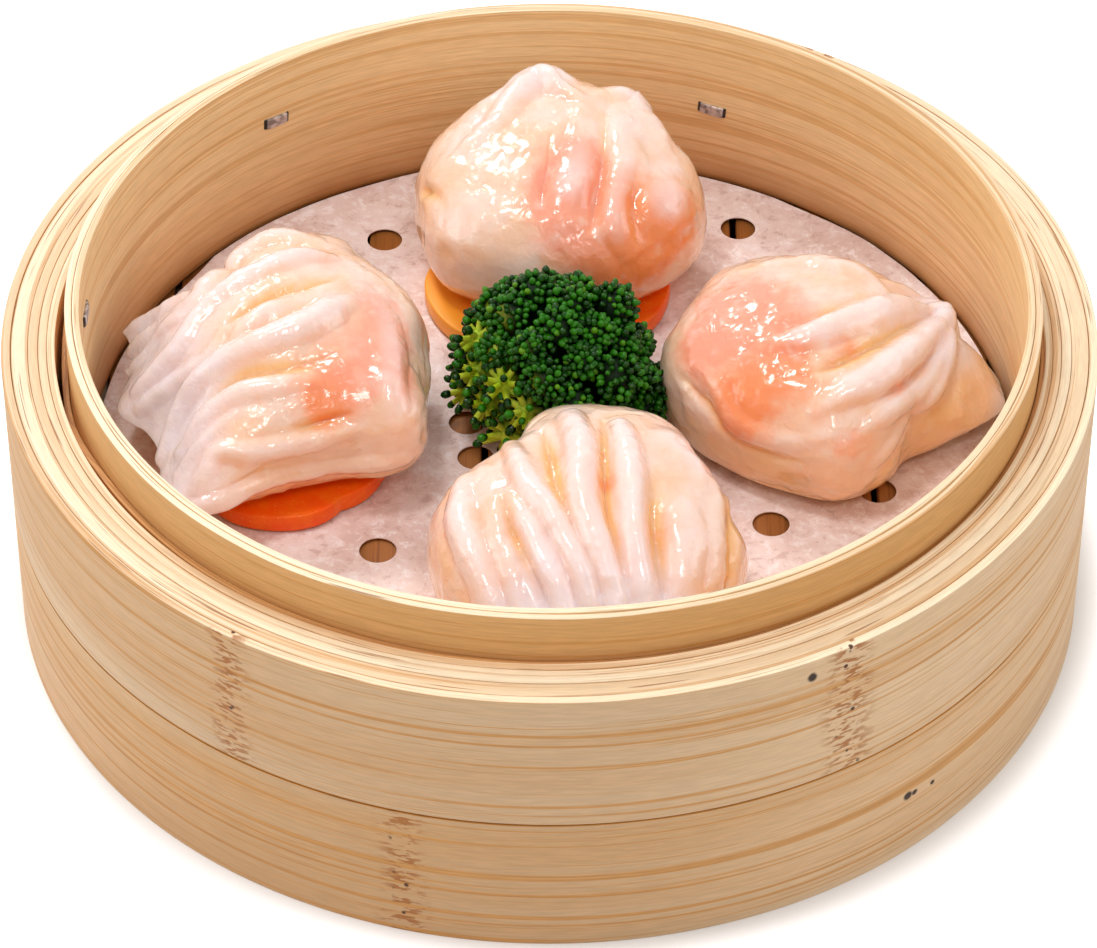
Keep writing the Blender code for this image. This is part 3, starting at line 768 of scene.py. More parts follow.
# Painted light: the back slice is made paler and yellower on its left, where the light falls on it.
lit_side = times(tree, rise(tree, x, -8 * MM, -16 * MM), rise(tree, y, 12 * MM, 24 * MM))
shade = mixed(tree, times(tree, lit_side, 0.85), shade, colour(255, 176, 56))
feed(
    tree,
    shader,
    {
        "Base Color": shade,
        "Roughness": 0.35,
        "Specular IOR Level": 0.3,
        "Subsurface Weight": 0.25,
        "Subsurface Radius": (1.0, 0.35, 0.1),
        "Subsurface Scale": 0.003,
    },
)
roughen(tree, shader, spots, 0.4, 0.2 * MM)
print("carrot finish nodes:", len(tree.nodes))

# %% Make the carrot slices
CARROT_PETALS = 5
CARROT_NOTCH = 0.07  # of the radius
# name, middle (mm), radius (mm), angle of a notch, how far the right side reaches
CARROTS = [
    ("carrot_left", (-41.5, -3.5), 19.6, -54.0, 0.86),
    ("carrot_back", (0.0, 37.0), 20.8, 170.0, 0.95),
]
for name, centre, radius, notch_angle, right_share in CARROTS:
    low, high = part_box(name)
    select_nothing()
    bpy.ops.mesh.primitive_circle_add(vertices=200, radius=1.0, fill_type="NGON")
    slice_ = bpy.context.object
    points = points_of(slice_)
    turns = np.arctan2(points[:, 1], points[:, 0])
    from_notch = np.abs(np.sin((turns - math.radians(notch_angle)) * CARROT_PETALS / 2))
    reach = radius * MM * (1 - CARROT_NOTCH * (1 - from_notch) ** 2)
    points[:, 0] = centre[0] * MM + reach * np.cos(turns) * np.where(np.cos(turns) > 0, right_share, 1.0)
    points[:, 1] = centre[1] * MM + reach * np.sin(turns)
    points[:, 2] = low[2]
    put_points(slice_, points)
    edit_all()
    bpy.ops.mesh.extrude_region_move(TRANSFORM_OT_translate={"value": (0.0, 0.0, high[2] - low[2])})
    bpy.ops.mesh.select_all(action="SELECT")
    bpy.ops.mesh.normals_make_consistent(inside=False)
    bpy.ops.object.mode_set(mode="OBJECT")
    soften = slice_.modifiers.new("soft_edge", "BEVEL")
    soften.width = 0.35 * MM
    soften.segments = 3
    soften.limit_method = "ANGLE"
    soften.angle_limit = math.radians(60)
    apply_modifiers(slice_)
    smoothed(slice_, 60)
    settled(slice_, name + "_slice", carrot_finish, [name])

# %% [markdown]
# ## Dumplings: the shape
# A har gow is a pouch: a round belly on one side and a thin crimped edge on the other, with
# pleats gathered over the top. It is one function of two angles, the way round and the way
# down from the top, so a ball can be moved point by point into a dumpling. Pleats and
# grooves are strokes drawn over it: each has a route, half widths and heights.


# %% The plain pouch
def plan_reach(shape, turns):
    across, along = shape["half_size"]
    oval = across * along / np.sqrt((along * np.cos(turns)) ** 2 + (across * np.sin(turns)) ** 2)
    growth = np.zeros_like(turns)
    for middle, size, spread in shape["bulges"]:
        gap = (np.degrees(turns) - middle + 180) % 360 - 180
        growth += size * np.exp(-((gap / spread) ** 2))
    return oval, growth


CRIMP_FADE = 22  # degrees over which the crimped edge turns into the round side
LIP = 0.65  # half the thickness of the edge, in mm
LIP_SHARPNESS = 10
THIN_FADE = 1.3
ROUND_TUCK, THIN_TUCK = 1.45, 3.0  # how fast the underside falls to the foot


def crimp_share(shape, turns):
    middle, half_spread = shape["crimp"]
    gap = np.abs((np.degrees(turns) - middle + 180) % 360 - 180)
    share = np.clip((half_spread + CRIMP_FADE - gap) / (2 * CRIMP_FADE), 0, 1)
    return share * share * (3 - 2 * share)


def pouch(shape, turns, slopes):
    """Points of the plain dumpling in mm; slope is 0 at the top and pi at the bottom."""
    oval, growth = plan_reach(shape, turns)
    thin = crimp_share(shape, turns)
    round_edge, thin_edge = shape["rim"]
    edge = round_edge + (thin_edge - round_edge) * thin
    out = np.sin(slopes)
    up = np.cos(slopes)
    thin = thin * np.clip(out, 0, 1) ** THIN_FADE
    reach = (oval + growth * out * out) * out
    apex_x, apex_y = shape["apex"]
    x = reach * np.cos(turns) + apex_x * (1 - out)
    y = reach * np.sin(turns) + apex_y * (1 - out)
    lip = LIP * np.sqrt(np.clip(1 - out**LIP_SHARPNESS, 0, 1))
    round_rise = np.abs(up) ** shape["round"]
    thin_rise = np.clip(1 - out * out, 0, 1) ** shape["slope"]
    above = edge + (shape["height"] - edge) * ((1 - thin) * round_rise + thin * thin_rise) + lip
    fall_round = np.sin(np.minimum(1.0, ROUND_TUCK * np.abs(up)) * math.pi / 2)
    fall_thin = np.sin(np.minimum(1.0, (1 - out) * THIN_TUCK) * math.pi / 2)
    fall = (1 - thin) * fall_round + thin * fall_thin
    below = edge - edge * fall - lip * (1 - fall)
    return np.stack([x, y, np.where(up >= 0, above, below)], -1), thin


# %% Strokes over the pouch
def smooth_route(points, pieces=7):
    points = [np.array(point, dtype=float) for point in points]
    if len(points) == 1:
        return [points[0], points[0]]
    ends = [2 * points[0] - points[1]] + points + [2 * points[-1] - points[-2]]
    route = []
    for a, b, c, d in zip(ends, ends[1:], ends[2:], ends[3:]):
        for step in range(pieces):
            t = step / pieces
            bend = (2 * a - 5 * b + 4 * c - d) * t**2 + (3 * b - a - 3 * c + d) * t**3
            route.append(0.5 * (2 * b + (c - a) * t + bend))
    return route + [points[-1]]


def nearest_on_route(points, route):
    nearest = np.full(len(points), 1e9)
    along = np.zeros(len(points))
    for index, (start, end) in enumerate(zip(route, route[1:])):
        run = end - start
        share = np.clip((points - start) @ run / max(run @ run, 1e-9), 0, 1)
        gap = np.linalg.norm(points - start - share[:, None] * run, axis=1)
        closer = gap < nearest
        nearest[closer] = gap[closer]
        along[closer] = (index + share[closer]) / (len(route) - 1)
    return nearest, along


def skin_height(shape, x, y):
    """Height of the plain pouch over a point of its plan."""
    turns, slopes = np.meshgrid(np.radians(np.arange(0, 360, 3.0)), np.radians(np.linspace(0, 90, 46)))
    skin, _ = pouch(shape, turns.ravel(), slopes.ravel())
    gaps = np.hypot(skin[:, 0] - x, skin[:, 1] - y)
    nearest = np.argsort(gaps)[:4]
    weights = 1 / (gaps[nearest] + 0.05)
    return float((skin[nearest, 2] * weights).sum() / weights.sum())


PLEAT_SPREAD = 1.2


def fold_lift(shape, points):
    """How far every stroke together lifts the skin at each point, in mm."""
    pleats = np.zeros(len(points))
    horns = np.zeros(len(points))
    others = np.zeros(len(points))
    for kind, route, half_widths, heights in shape["folds"]:
        placed = [p if len(p) == 3 else (*p, skin_height(shape, *p)) for p in route]
        drawn = np.array(smooth_route(placed))
        margin = max(half_widths) * PLEAT_SPREAD
        near = np.all((points > drawn.min(0) - margin) & (points < drawn.max(0) + margin), axis=1)
        gap, along = nearest_on_route(points[near], drawn)
        if kind == "pleat":
            gap = gap / PLEAT_SPREAD
        stops = np.linspace(0, 1, len(half_widths))
        height = np.interp(along, stops, heights)
        share = np.clip(gap / np.interp(along, stops, half_widths), 0, 1)
        if kind == "pleat":
            pleats[near] = np.maximum(pleats[near], height * (1 - share**2) ** 1.1)
        elif kind == "horn":
            horns[near] = np.maximum(horns[near], height * (1 - share) ** 1.5 * (1 + 1.5 * share))
        elif kind == "swell":
            others[near] += height * (1 - share**2) ** 2
        elif kind == "crease":
            others[near] -= height * (1 - share) ** 2
        else:
            others[near] -= height * (1 - share**2) ** 2
    return pleats, horns + others


# %% [markdown]
# ## Dumplings: the four
# Each dumpling lies its own way round, so each has its own outline, crimped edge and
# strokes, all in millimetres about its own middle. `filling` lists where the shrimp shows
# through the skin: x, y, half width, strength and how orange it is. The last table lists
# where the clear edge is painted a warm amber, partly the bamboo and partly the shade seen
# through it: x, y, z and half width.

# %% The back dumpling
BACK = {
    "name": "dumpling_back",
    "middle": (1.5, 44.6),
    "half_size": (24.3, 22.5),
    "height": 23.5,
    "apex": (1, 9),
    "round": 0.8,
    "slope": 0.9,
    "crimp": (105, 34),
    "rim": (8.5, 11.5),
    "bulges": [
        (150, -1.5, 18), (50, -9.5, 18), (22, -6, 16), (190, -0.8, 25), (220, 1.8, 20), (335, 0.8, 18),
        (100, -2, 14),
    ],
    "folds": [
        ("horn", [(-14, 7), (-8, 10.5), (-3.5, 14, 20.5)], [4, 4.5, 4.5], [0.5, 1.6, 4.2]),
        ("horn", [(-3.5, 14, 20.5), (0.5, 12.5), (3, 11)], [4.5, 4, 3.5], [4.2, 1.8, 0.4]),
        ("horn", [(7.5, 10.5), (11.5, 11.8, 20), (14.5, 7)], [3.5, 4.5, 4], [0.6, 3.6, 1.2]),
        ("horn", [(14.5, 7), (16.5, 1.5), (18, -3)], [4, 3.5, 3], [1.2, 0.8, 0.2]),
        ("pleat", [(-3.5, 12), (-7, 8.3), (-10, 4), (-14.5, -0.3), (-17, -2)],
            [1.4, 2, 2.2, 1.8, 1], [0.4, 0.9, 1, 0.7, 0.2]),
        ("pleat", [(-3, 13.5), (-0.7, 10.7), (2, 9), (4.5, 7.2)], [1.3, 1.3, 1.3, 1], [0.6, 0.9, 0.8, 0.2]),
        ("pleat", [(10.5, 9), (10, -2), (10.8, -6.5), (9, -11), (8.4, -14.5), (9.3, -17.6), (11.2, -19)],
            [2.4, 3.4, 3.4, 3, 2.8, 2.6, 1.8], [0.4, 0.9, 1.1, 1.1, 1.1, 0.9, 0.3]),
        ("pleat", [(4, 6.5), (3.5, -3.5), (2.3, -9.5), (1.4, -12.5), (1, -16)],
            [1.4, 2.8, 3.4, 3.4, 2.4], [0.2, 0.8, 1.3, 1.2, 0.3]),
        ("crease", [(7.4, 5.5), (7.4, 0), (7, -7), (6, -13.7), (5, -17.5)],
            [2, 2.6, 2.8, 2.6, 1.8], [0.2, 0.9, 1.4, 1.5, 0.5]),
        ("crease", [(12.6, -4), (12, -10), (12, -14.6), (13.5, -17)],
            [1.6, 2.4, 2.4, 1.6], [0.1, 0.6, 0.7, 0.2]),
        ("crease", [(-1.5, -1), (-2, -7), (-2.8, -12), (-3, -16.5)],
            [1.5, 2.2, 2.4, 1.6], [0.2, 0.8, 1, 0.3]),
        ("crease", [(-24.5, -3.5, 13.5), (-21.5, -5, 15), (-19.1, -8.5, 16), (-16.9, -12.4, 15.5),
            (-15.8, -15, 14)], [2, 2, 2, 1.8, 1.2], [1.9, 1.7, 1.3, 0.8, 0.2]),
        ("groove", [(2, 17, 19), (8, 17, 19)], [4, 4], [1.5, 1.5]),
        ("groove", [(-17.2, -15.8, 11)], [3, 3], [0.9, 0.9]),
        ("swell", [(17, -10.5, 17.5)], [7.5, 7.5], [1.5, 1.5]),
        ("swell", [(-18, -3, 17)], [5, 5], [0.6, 0.6]),
    ],
    "filling": [
        (1, -11, 7.5, 1, 0.15), (4, -18, 7.5, 0.9, 0.35), (17, -14, 8, 1, 1), (11, -19.5, 7, 0.8, 0.7),
        (3, -4, 5, 0.5, 0.1),
    ],
}
print(BACK["name"], len(BACK["folds"]), "strokes")

# %% The left dumpling
LEFT = {
    "name": "dumpling_left",
    "middle": (-42.5, 5),
    "half_size": (23.5, 25.5),
    "height": 22.5,
    "apex": (4, -1),
    "round": 0.85,
    "slope": 1,
    "crimp": (195, 62),
    "rim": (9, 5),
    "bulges": [
        (45, -3.5, 20), (112, -8, 18), (134, -10.5, 13), (157, 3, 8), (200, 3, 12), (248, 11, 16),
        (317, 6.5, 15), (157, 1.6, 3.5), (168, 1.4, 3), (178, 1.2, 3),
    ],
    "folds": [
        ("pleat", [(5, 13.9), (-1, 15.5), (-6.8, 13), (-10.5, 7), (-13, 3), (-16.5, 1.5), (-20, 3, 10.5),
            (-22.5, 5, 7)], [2, 2.8, 2.6, 2.4, 2.2, 2, 2, 2], [0.5, 1.8, 1.9, 1.6, 1.2, 1, 0.8, 0.6]),
        ("crease", [(3.5, 12.5), (-0.8, 9), (-5, 6.5), (-8.5, 3.8), (-12, 0.5), (-14.5, -1.5)],
            [1.2, 1.5, 1.6, 1.5, 1.4, 1], [0.2, 1.2, 1.3, 1.2, 0.9, 0.3]),
        ("pleat", [(8, 8.5), (4, 8), (-0.5, 6), (-6, 3), (-10, 0.5), (-12.8, -2.5), (-15, -6),
            (-18, -7.8, 13), (-21.3, -8.2, 8)],
            [1.2, 2.2, 2.4, 2.3, 2.2, 2, 2, 2, 1.8], [0.4, 1.5, 1.8, 1.7, 1.5, 1.4, 1.3, 1.2, 0.9]),
        ("pleat", [(-7.6, -6.5), (-9.7, -10.5), (-13.2, -11.5, 15.5), (-17, -11.3, 11.5), (-21, -10.8, 7)],
            [1, 1.5, 1.6, 1.6, 1.5], [0.2, 0.9, 1.1, 1.1, 0.8]),
        ("crease", [(9.6, 2.8), (5, 0.5), (0.2, -1.2), (-4.1, -3.8), (-7.3, -6.2)],
            [1.6, 2, 2, 1.8, 1.2], [0.3, 1.2, 1.4, 1.3, 0.5]),
        ("pleat", [(3.5, -3.2), (-1.5, -5.5), (-4.6, -8), (-6.8, -10.5)],
            [1, 1.5, 1.4, 1], [0.2, 0.9, 0.9, 0.3]),
        ("crease", [(6.5, -3.6), (2, -6.6), (-2, -9), (-6, -11.4)], [1, 1.5, 1.5, 1], [0.2, 0.8, 0.9, 0.4]),
        ("pleat", [(12, -1.8), (8.6, -5.5), (4.8, -8.8), (0, -11), (-4.8, -12.2), (-8.7, -13.2),
            (-12, -14.5), (-14.8, -16.3, 11.5), (-16.5, -18.5, 8), (-17.5, -21, 5)],
            [1.6, 2.6, 2.8, 2.7, 2.4, 2.2, 2.1, 2, 1.9, 1.5],
            [0.5, 1.9, 2.3, 2.2, 2.1, 2, 1.9, 1.7, 1.3, 0.7]),
        ("crease", [(10, -13.5), (5, -15.8), (0, -16.6), (-4.6, -16.8), (-8, -17.6), (-11, -19)],
            [1.8, 2.4, 2.5, 2.2, 1.8, 1.2], [0.3, 1.2, 1.7, 1.9, 1.5, 0.6]),
        ("pleat", [(6.5, -18.6), (0, -19.3), (-6, -19.8), (-10.8, -21.4), (-13.8, -24, 9)],
            [1.2, 1.9, 2, 1.9, 1.5], [0.3, 1, 1.3, 1.2, 0.6]),
        ("crease", [(11.8, -21.6, 15.2), (6.8, -23, 14.4), (1.5, -24, 13.8), (-3.5, -25.2, 13.6),
            (-7, -26, 12.8)], [1.2, 1.7, 1.7, 1.6, 1], [0.5, 1.7, 1.7, 1.2, 0.3]),
        ("pleat", [(12.5, -22.8, 12.8), (6.7, -24.3, 12), (0.8, -26, 12.2), (-4, -27.6, 12.4),
            (-8.2, -27.8, 12.4), (-9.9, -29.8, 10.8), (-11.3, -31.6, 8.5)],
            [1.2, 1.8, 1.9, 1.8, 1.7, 1.6, 1.3], [0.4, 1.2, 1.3, 1.3, 1.2, 1, 0.5]),
        ("crease", [(16, -24, 9), (6.5, -25.8, 8.6), (-1, -28.3, 9.2), (-5, -30.4, 9.2)],
            [1.2, 1.6, 1.6, 1.2], [0.2, 0.9, 0.9, 0.3]),
        ("pleat", [(20, -22.5, 6.5), (14.4, -23.6, 6), (6.3, -25.6, 6), (0.6, -28, 6.5), (-5, -31.4, 6.8),
            (-10.8, -33.5, 6.5)], [1.8, 2, 2, 2, 2, 1.6], [0.7, 1.2, 1.4, 1.4, 1.4, 1]),
        ("pleat", [(-5.8, -22.5), (-9, -24.3, 14), (-12, -26, 11.4), (-14.8, -27.5, 8.3)],
            [0.8, 1.2, 1.2, 1], [0.2, 0.7, 0.7, 0.3]),
        ("pleat", [(13.5, 1.5), (16.7, -4.5), (17.8, -10.5), (18, -17), (19, -21, 13.5)],
            [1.5, 3, 3.2, 2.8, 2], [0.2, 0.9, 1.1, 1, 0.5]),
        ("crease", [(21.5, -15.5, 14.5), (22, -18.3, 12), (23.2, -20, 9)],
            [1.6, 1.6, 1.6], [0.5, 0.9, 0.5]),
        ("swell", [(23, -6, 9)], [6, 6], [1, 1]),
        ("crease", [(19.5, 6, 14), (22, 0, 13), (23, -7, 11.5)], [1.6, 1.8, 1.4], [0.3, 0.7, 0.3]),
    ],
    "filling": [
        (16, -9, 7.5, 0.5, 0.1), (9, -18, 6, 0.75, 0.4), (8, -21.5, 3.5, 0.8, 0.9), (17, -2, 6, 0.5, 0.1),
        (19, -15, 6, 0.5, 0.1), (6, 8, 5, 0.4, 0.3),
    ],
}
print(LEFT["name"], len(LEFT["folds"]), "strokes")

# %% The front dumpling
FRONT = {
    "name": "dumpling_front",
    "middle": (6, -36),
    "half_size": (24.5, 26),
    "height": 23.5,
    "apex": (0, 4),
    "round": 0.85,
    "slope": 1,
    "crimp": (270, 45),
    "rim": (9, 8),
    "bulges": [(28, -6.5, 17), (60, 0.5, 14), (136, -9, 19), (160, -1.5, 12)],
    "folds": [
        ("pleat", [(-19.2, 3.5), (-19.5, -3.5), (-18.2, -10), (-16, -14.8), (-14, -19), (-12, -24)],
            [1.6, 2.6, 2.6, 2.4, 2.3, 2], [0.6, 1.6, 1.9, 1.8, 1.5, 0.8]),
        ("pleat", [(-15.2, -2), (-14.2, -6), (-13.2, -11), (-11.8, -15.5), (-10.5, -20)],
            [1.2, 1.8, 1.8, 1.6, 1.3], [0.1, 0.5, 0.7, 0.7, 0.4]),
        ("crease", [(-13, -4.5), (-11.3, -9.5), (-9, -14), (-7, -18.5), (-6, -22)],
            [1.3, 1.8, 1.9, 1.8, 1.3], [0.3, 1.4, 1.7, 1.5, 0.6]),
        ("pleat", [(-11.6, -2.5), (-9.3, -9), (-6.8, -14.3), (-4.9, -17.8), (-3.7, -21)],
            [1.2, 2.1, 2.2, 2, 1.6], [0.5, 1.5, 1.6, 1.4, 0.9]),
        ("pleat", [(-12, 8.5), (-10.6, 3), (-9, -2.5), (-6, -7), (-3.9, -11.3), (-1.6, -15.5), (0, -20)],
            [1.4, 2, 2.1, 2, 1.9, 1.8, 1.5], [0.7, 1.6, 1.8, 1.8, 1.8, 1.5, 0.9]),
        ("crease", [(-7.2, 10.5), (-6, 4), (-5, -2), (-3.3, -7.5)],
            [1.5, 2.2, 2.2, 1.2], [0.5, 1.8, 2, 0.6]),
        ("pleat", [(-2.8, 13.5), (-1.5, 7), (-1.2, 1.5), (-1.2, -4.7), (-0.2, -9), (1.4, -13), (3, -16.3),
            (4.5, -21)], [2.2, 2.5, 2.5, 2.4, 2.2, 2, 1.8, 1.5], [1.4, 2.3, 2.4, 2.2, 2, 1.8, 1.5, 0.8]),
        ("crease", [(2, 13), (2.2, 6.3), (2.4, -1.6), (2.9, -7.9), (4.2, -12.5), (5, -16)],
            [1.2, 1.4, 1.4, 1.3, 1.2, 0.9], [0.5, 1.4, 1.7, 1.5, 1.1, 0.4]),
        ("pleat", [(4.8, 11), (5.8, 5.2), (6.1, -1.5), (6.5, -7), (7, -12.3), (7.8, -16), (9.3, -20)],
            [2, 2.3, 2.4, 2.2, 2.1, 2, 1.6], [1.4, 2.2, 2.3, 2.1, 1.8, 1.6, 0.9]),
        ("crease", [(9.6, -1), (9.6, -6), (9.8, -10), (10.4, -13.5), (11, -17)],
            [2, 3, 3.2, 3, 2], [0.3, 1.1, 1.5, 1.5, 0.8]),
        ("pleat", [(15.6, -3), (14.8, -7), (14.6, -11), (14.3, -14.5), (13.8, -19)],
            [2, 3.2, 3.2, 3, 2.4], [0.2, 0.9, 1.2, 1.2, 0.8]),
        ("pleat", [(18.4, -4), (18.6, -8.5), (18.2, -13, 15), (17, -17, 12)],
            [1.2, 2, 2, 1.6], [0.1, 0.5, 0.6, 0.3]),
        ("crease", [(19.5, 4, 17), (20.8, -2.5, 16.5), (21, -8, 15), (21.2, -13, 12)],
            [2.2, 2.6, 2.6, 2], [1.2, 2, 2, 1]),
        ("swell", [(16, 4, 18)], [6, 6], [1, 1]),
        ("swell", [(13.5, 9, 19)], [7, 7], [1.7, 1.7]),
        ("groove", [(23, 0, 13)], [5.5, 5.5], [2.2, 2.2]),
        ("crease", [(2.6, 14.2), (5.2, 16), (8, 16.6)], [0.8, 0.9, 0.8], [0.2, 0.4, 0.2]),
        ("crease", [(-11.4, 12), (-9, 14.5), (-6.5, 16.5)], [0.8, 0.9, 0.8], [0.2, 0.4, 0.2]),
    ],
    "filling": [
        (10, -9, 5, 0.3, 0.9), (-5, 2, 3.5, 0.35, 0.8), (2.4, 4, 1.8, 0.45, 1), (2.4, -2, 1.8, 0.5, 1),
        (-8, -17, 3, 0.3, 0.8),
    ],
}
print(FRONT["name"], len(FRONT["folds"]), "strokes")

# %% The right dumpling
RIGHT = {
    "name": "dumpling_right",
    "middle": (43, 5.5),
    "half_size": (26, 23),
    "height": 23.5,
    "apex": (-3, 1),
    "round": 0.85,
    "slope": 1,
    "crimp": (5, 38),
    "rim": (9, 5),
    "bulges": [
        (5, 2.4, 16), (352, 1.8, 9), (57, -5.5, 20), (95, -4.5, 22), (160, -2.2, 16), (222, -1.2, 20),
        (275, 2.5, 16), (315, -4.5, 16),
    ],
    "folds": [
        ("pleat", [(-10, -9.5), (-4.5, -9), (0.3, -7), (4.5, -4), (8.5, -1), (13, 2.5), (18, 5.5, 15)],
            [1.2, 2.2, 2.6, 3, 3, 2.4, 1.6], [0.3, 1.4, 1.9, 2, 1.8, 1.2, 0.8]),
        ("crease", [(-7, -6.5), (0, -3.5), (6, 0.5), (10, 4)], [1.6, 2.2, 2.2, 1.6], [0.2, 0.9, 1, 0.3]),
        ("pleat", [(-2, -20, 18), (4.1, -17), (9.5, -12.6), (14.5, -5.5), (19, 4, 16)],
            [1.4, 2.6, 3, 2.6, 1.8], [0.4, 1.8, 2.3, 2.1, 1.4]),
        ("crease", [(-4, -15.5), (2.5, -12.6), (8, -8.2), (13.5, -1.5), (17.5, 5)],
            [1.4, 1.9, 2, 1.7, 1.2], [0.3, 1.5, 1.8, 1.3, 0.5]),
        ("pleat", [(2, -22.8, 14), (9.5, -18), (13.8, -12.5), (17.6, -4.5, 15.5), (19.8, 5, 15.5)],
            [1, 2, 2, 1.7, 1.4], [0.4, 1.6, 1.7, 1.5, 1.1]),
        ("crease", [(4, -20, 17), (10, -15.2), (14.5, -9.2), (17.5, -1.5)],
            [1.1, 1.5, 1.4, 1], [0.3, 1.2, 1.1, 0.4]),
        ("pleat", [(6.9, -24, 9.5), (12.5, -18.5, 12.5), (16.3, -11.5, 14), (18.8, -5, 15), (20, 5, 15.5)],
            [1, 1.6, 1.8, 1.7, 1.3], [0.3, 1.2, 1.5, 1.5, 1.1]),
        ("crease", [(9, -24, 6), (15, -16.5, 9.5), (19.5, -8, 11.5), (21.5, 2, 13)],
            [1.4, 1.8, 1.8, 1.4], [0.3, 1, 1, 0.4]),
        ("pleat", [(-8, 11), (0, 10.5), (6, 8), (9.5, 4)], [1.6, 2.4, 2.4, 1.6], [0.3, 1, 1.1, 0.5]),
        ("pleat", [(9.5, 7.5), (14, 9), (18.5, 8.5, 12)], [1.5, 2.2, 1.8], [0.4, 0.9, 0.7]),
        ("horn", [(19.3, 6.8, 14.5)], [4.8, 4.8], [2.6, 2.6]),
        ("crease", [(-23.5, -3, 14.5), (-21.5, -9, 14.5), (-18.5, -13.5, 13.5), (-15.5, -18, 10.2),
            (-10.5, -21, 9.8), (-4, -23.8, 10.5)],
            [1.2, 1.5, 1.6, 1.6, 1.6, 1.2], [0.3, 0.9, 1.2, 1.4, 1.2, 0.3]),
        ("pleat", [(-20, -8, 17), (-17, -12.5, 16.3), (-14, -17, 13), (-9, -20.3, 12.6), (-2, -22.5, 13.5)],
            [1.4, 1.9, 2, 1.9, 1.4], [0.3, 0.7, 0.9, 0.8, 0.3]),
    ],
    "filling": [
        (-14, 0, 8.5, 0.9, 0.15), (-19, -7, 6, 0.8, 0.3), (-13.7, -17, 5, 1, 0.9), (-7, -15, 7, 0.75, 0.6),
        (-8, -5, 7, 0.6, 0.3), (4, -10.5, 3, 0.5, 0.9), (11, -14, 2.5, 0.5, 1), (3, -24, 5, 0.4, 1),
    ],
    # Where the clear edge is painted with the shade and the bamboo seen through it.
    "shade_seen_through": [
        (22, -6, 8, 6), (17, -14, 6, 6), (10, -20, 5, 5), (-18, -12, 4, 6), (-8, -21, 4, 6), (25, 2, 7, 4),
    ],
}
DUMPLINGS = [BACK, LEFT, FRONT, RIGHT]
print(RIGHT["name"], len(RIGHT["folds"]), "strokes")

# %% [markdown]
# ## Dumplings: the skin
# Steamed starch skin is clear at the thin crimp and lets the orange filling glow through
# where it lies tight, while pleats, two layers thick, look milky. Six values are kept on the
# mesh for the finish: how thick the fold is, how crimped, how low, how near the shrimp is,
# how orange that shrimp is, and how much painted shade and bamboo the clear edge shows.

# %% Dumpling skin finish
skin_finish, tree, shader, where = new_material("dumpling_skin")
blotches = noisy(tree, where, 120.0, detail=3.0)
mottled = noisy(tree, where, 260.0, detail=3.0)
folded = kept(tree, "fold")
crimped = kept(tree, "crimp")
patchy = times(tree, calc(tree, "SUBTRACT", mottled, 0.5), 1.1)
near_filling = calc(tree, "ADD", kept(tree, "filling"), patchy)
shrimp = mixed(tree, rise(tree, kept(tree, "orange"), 0.15, 0.8), colour(255, 162, 132), colour(255, 142, 70))
shade = mixed(tree, rise(tree, blotches, 0.35, 0.65), colour(252, 216, 202), colour(252, 202, 172))
shade = painted(tree, shade, colour(255, 196, 130), folded, 0.25, -1.0, 0.9)
shade = painted(tree, shade, colour(250, 196, 150), kept(tree, "low"), 0.15, 0.8, 0.8)
shade = painted(tree, shade, shrimp, near_filling, 0.12, 0.85, 0.95)
shade = painted(tree, shade, colour(250, 226, 224), folded, 0.35, 1.6, 0.62)
shade = painted(tree, shade, colour(238, 234, 246), crimped, 0.35, 0.9, 0.95)
# Painted shade: the clear edge is tinted amber where the shade and the bamboo behind it would show through.
shade = painted(tree, shade, colour(246, 198, 142), kept(tree, "shade_seen_through"), 0.1, 0.8, 0.8)
shade = painted(tree, shade, colour(255, 238, 226), mottled, 0.55, 0.75, 0.3)
feed(
    tree,
    shader,
    {
        "Base Color": shade,
        "Roughness": 0.2,
        "Specular IOR Level": 0.5,
        "Subsurface Weight": 0.85,
        "Subsurface Radius": (1.0, 0.86, 0.78),
        "Subsurface Scale": 0.0028,
        "Coat Weight": 0.65,
        "Coat Roughness": 0.04,
    },
)
wrinkles = noisy(tree, where, 520.0, detail=2.0, rough=0.55, distortion=0.6)
roughen(tree, shader, wrinkles, 0.75, 0.3 * MM)
print("skin finish nodes:", len(tree.nodes))

# %% Make the dumplings
SKIN_SPOKES = 340
SKIN_RINGS = 160
FOOT_ZONE = 2  # mm above the foot that stay smooth and clear
LOW_SHARE = 0.6  # of the height, below which the skin counts as low
select_nothing()
bpy.ops.mesh.primitive_uv_sphere_add(segments=SKIN_SPOKES, ring_count=SKIN_RINGS, radius=1.0)
pattern_ball = bpy.context.object
ball = points_of(pattern_ball)
turns = np.arctan2(ball[:, 1], ball[:, 0])
slopes = np.arccos(np.clip(ball[:, 2], -1, 1))


def wet_ripples(skin):
    """Small unevenness of a steamed skin, in mm: slow dents with fine wrinkles on them."""
    ripples = []
    for point in skin:
        place_at = Vector(point)
        wet = min(1.0, max(0.25, 0.6 + 1.2 * noise.noise(place_at * 0.11)))
        fine = 0.24 * noise.noise(place_at * 0.45) + 0.08 * noise.noise(place_at * 1.1)
        ripples.append(0.35 * noise.noise(place_at * 0.17) + wet * fine)
    return np.array(ripples)


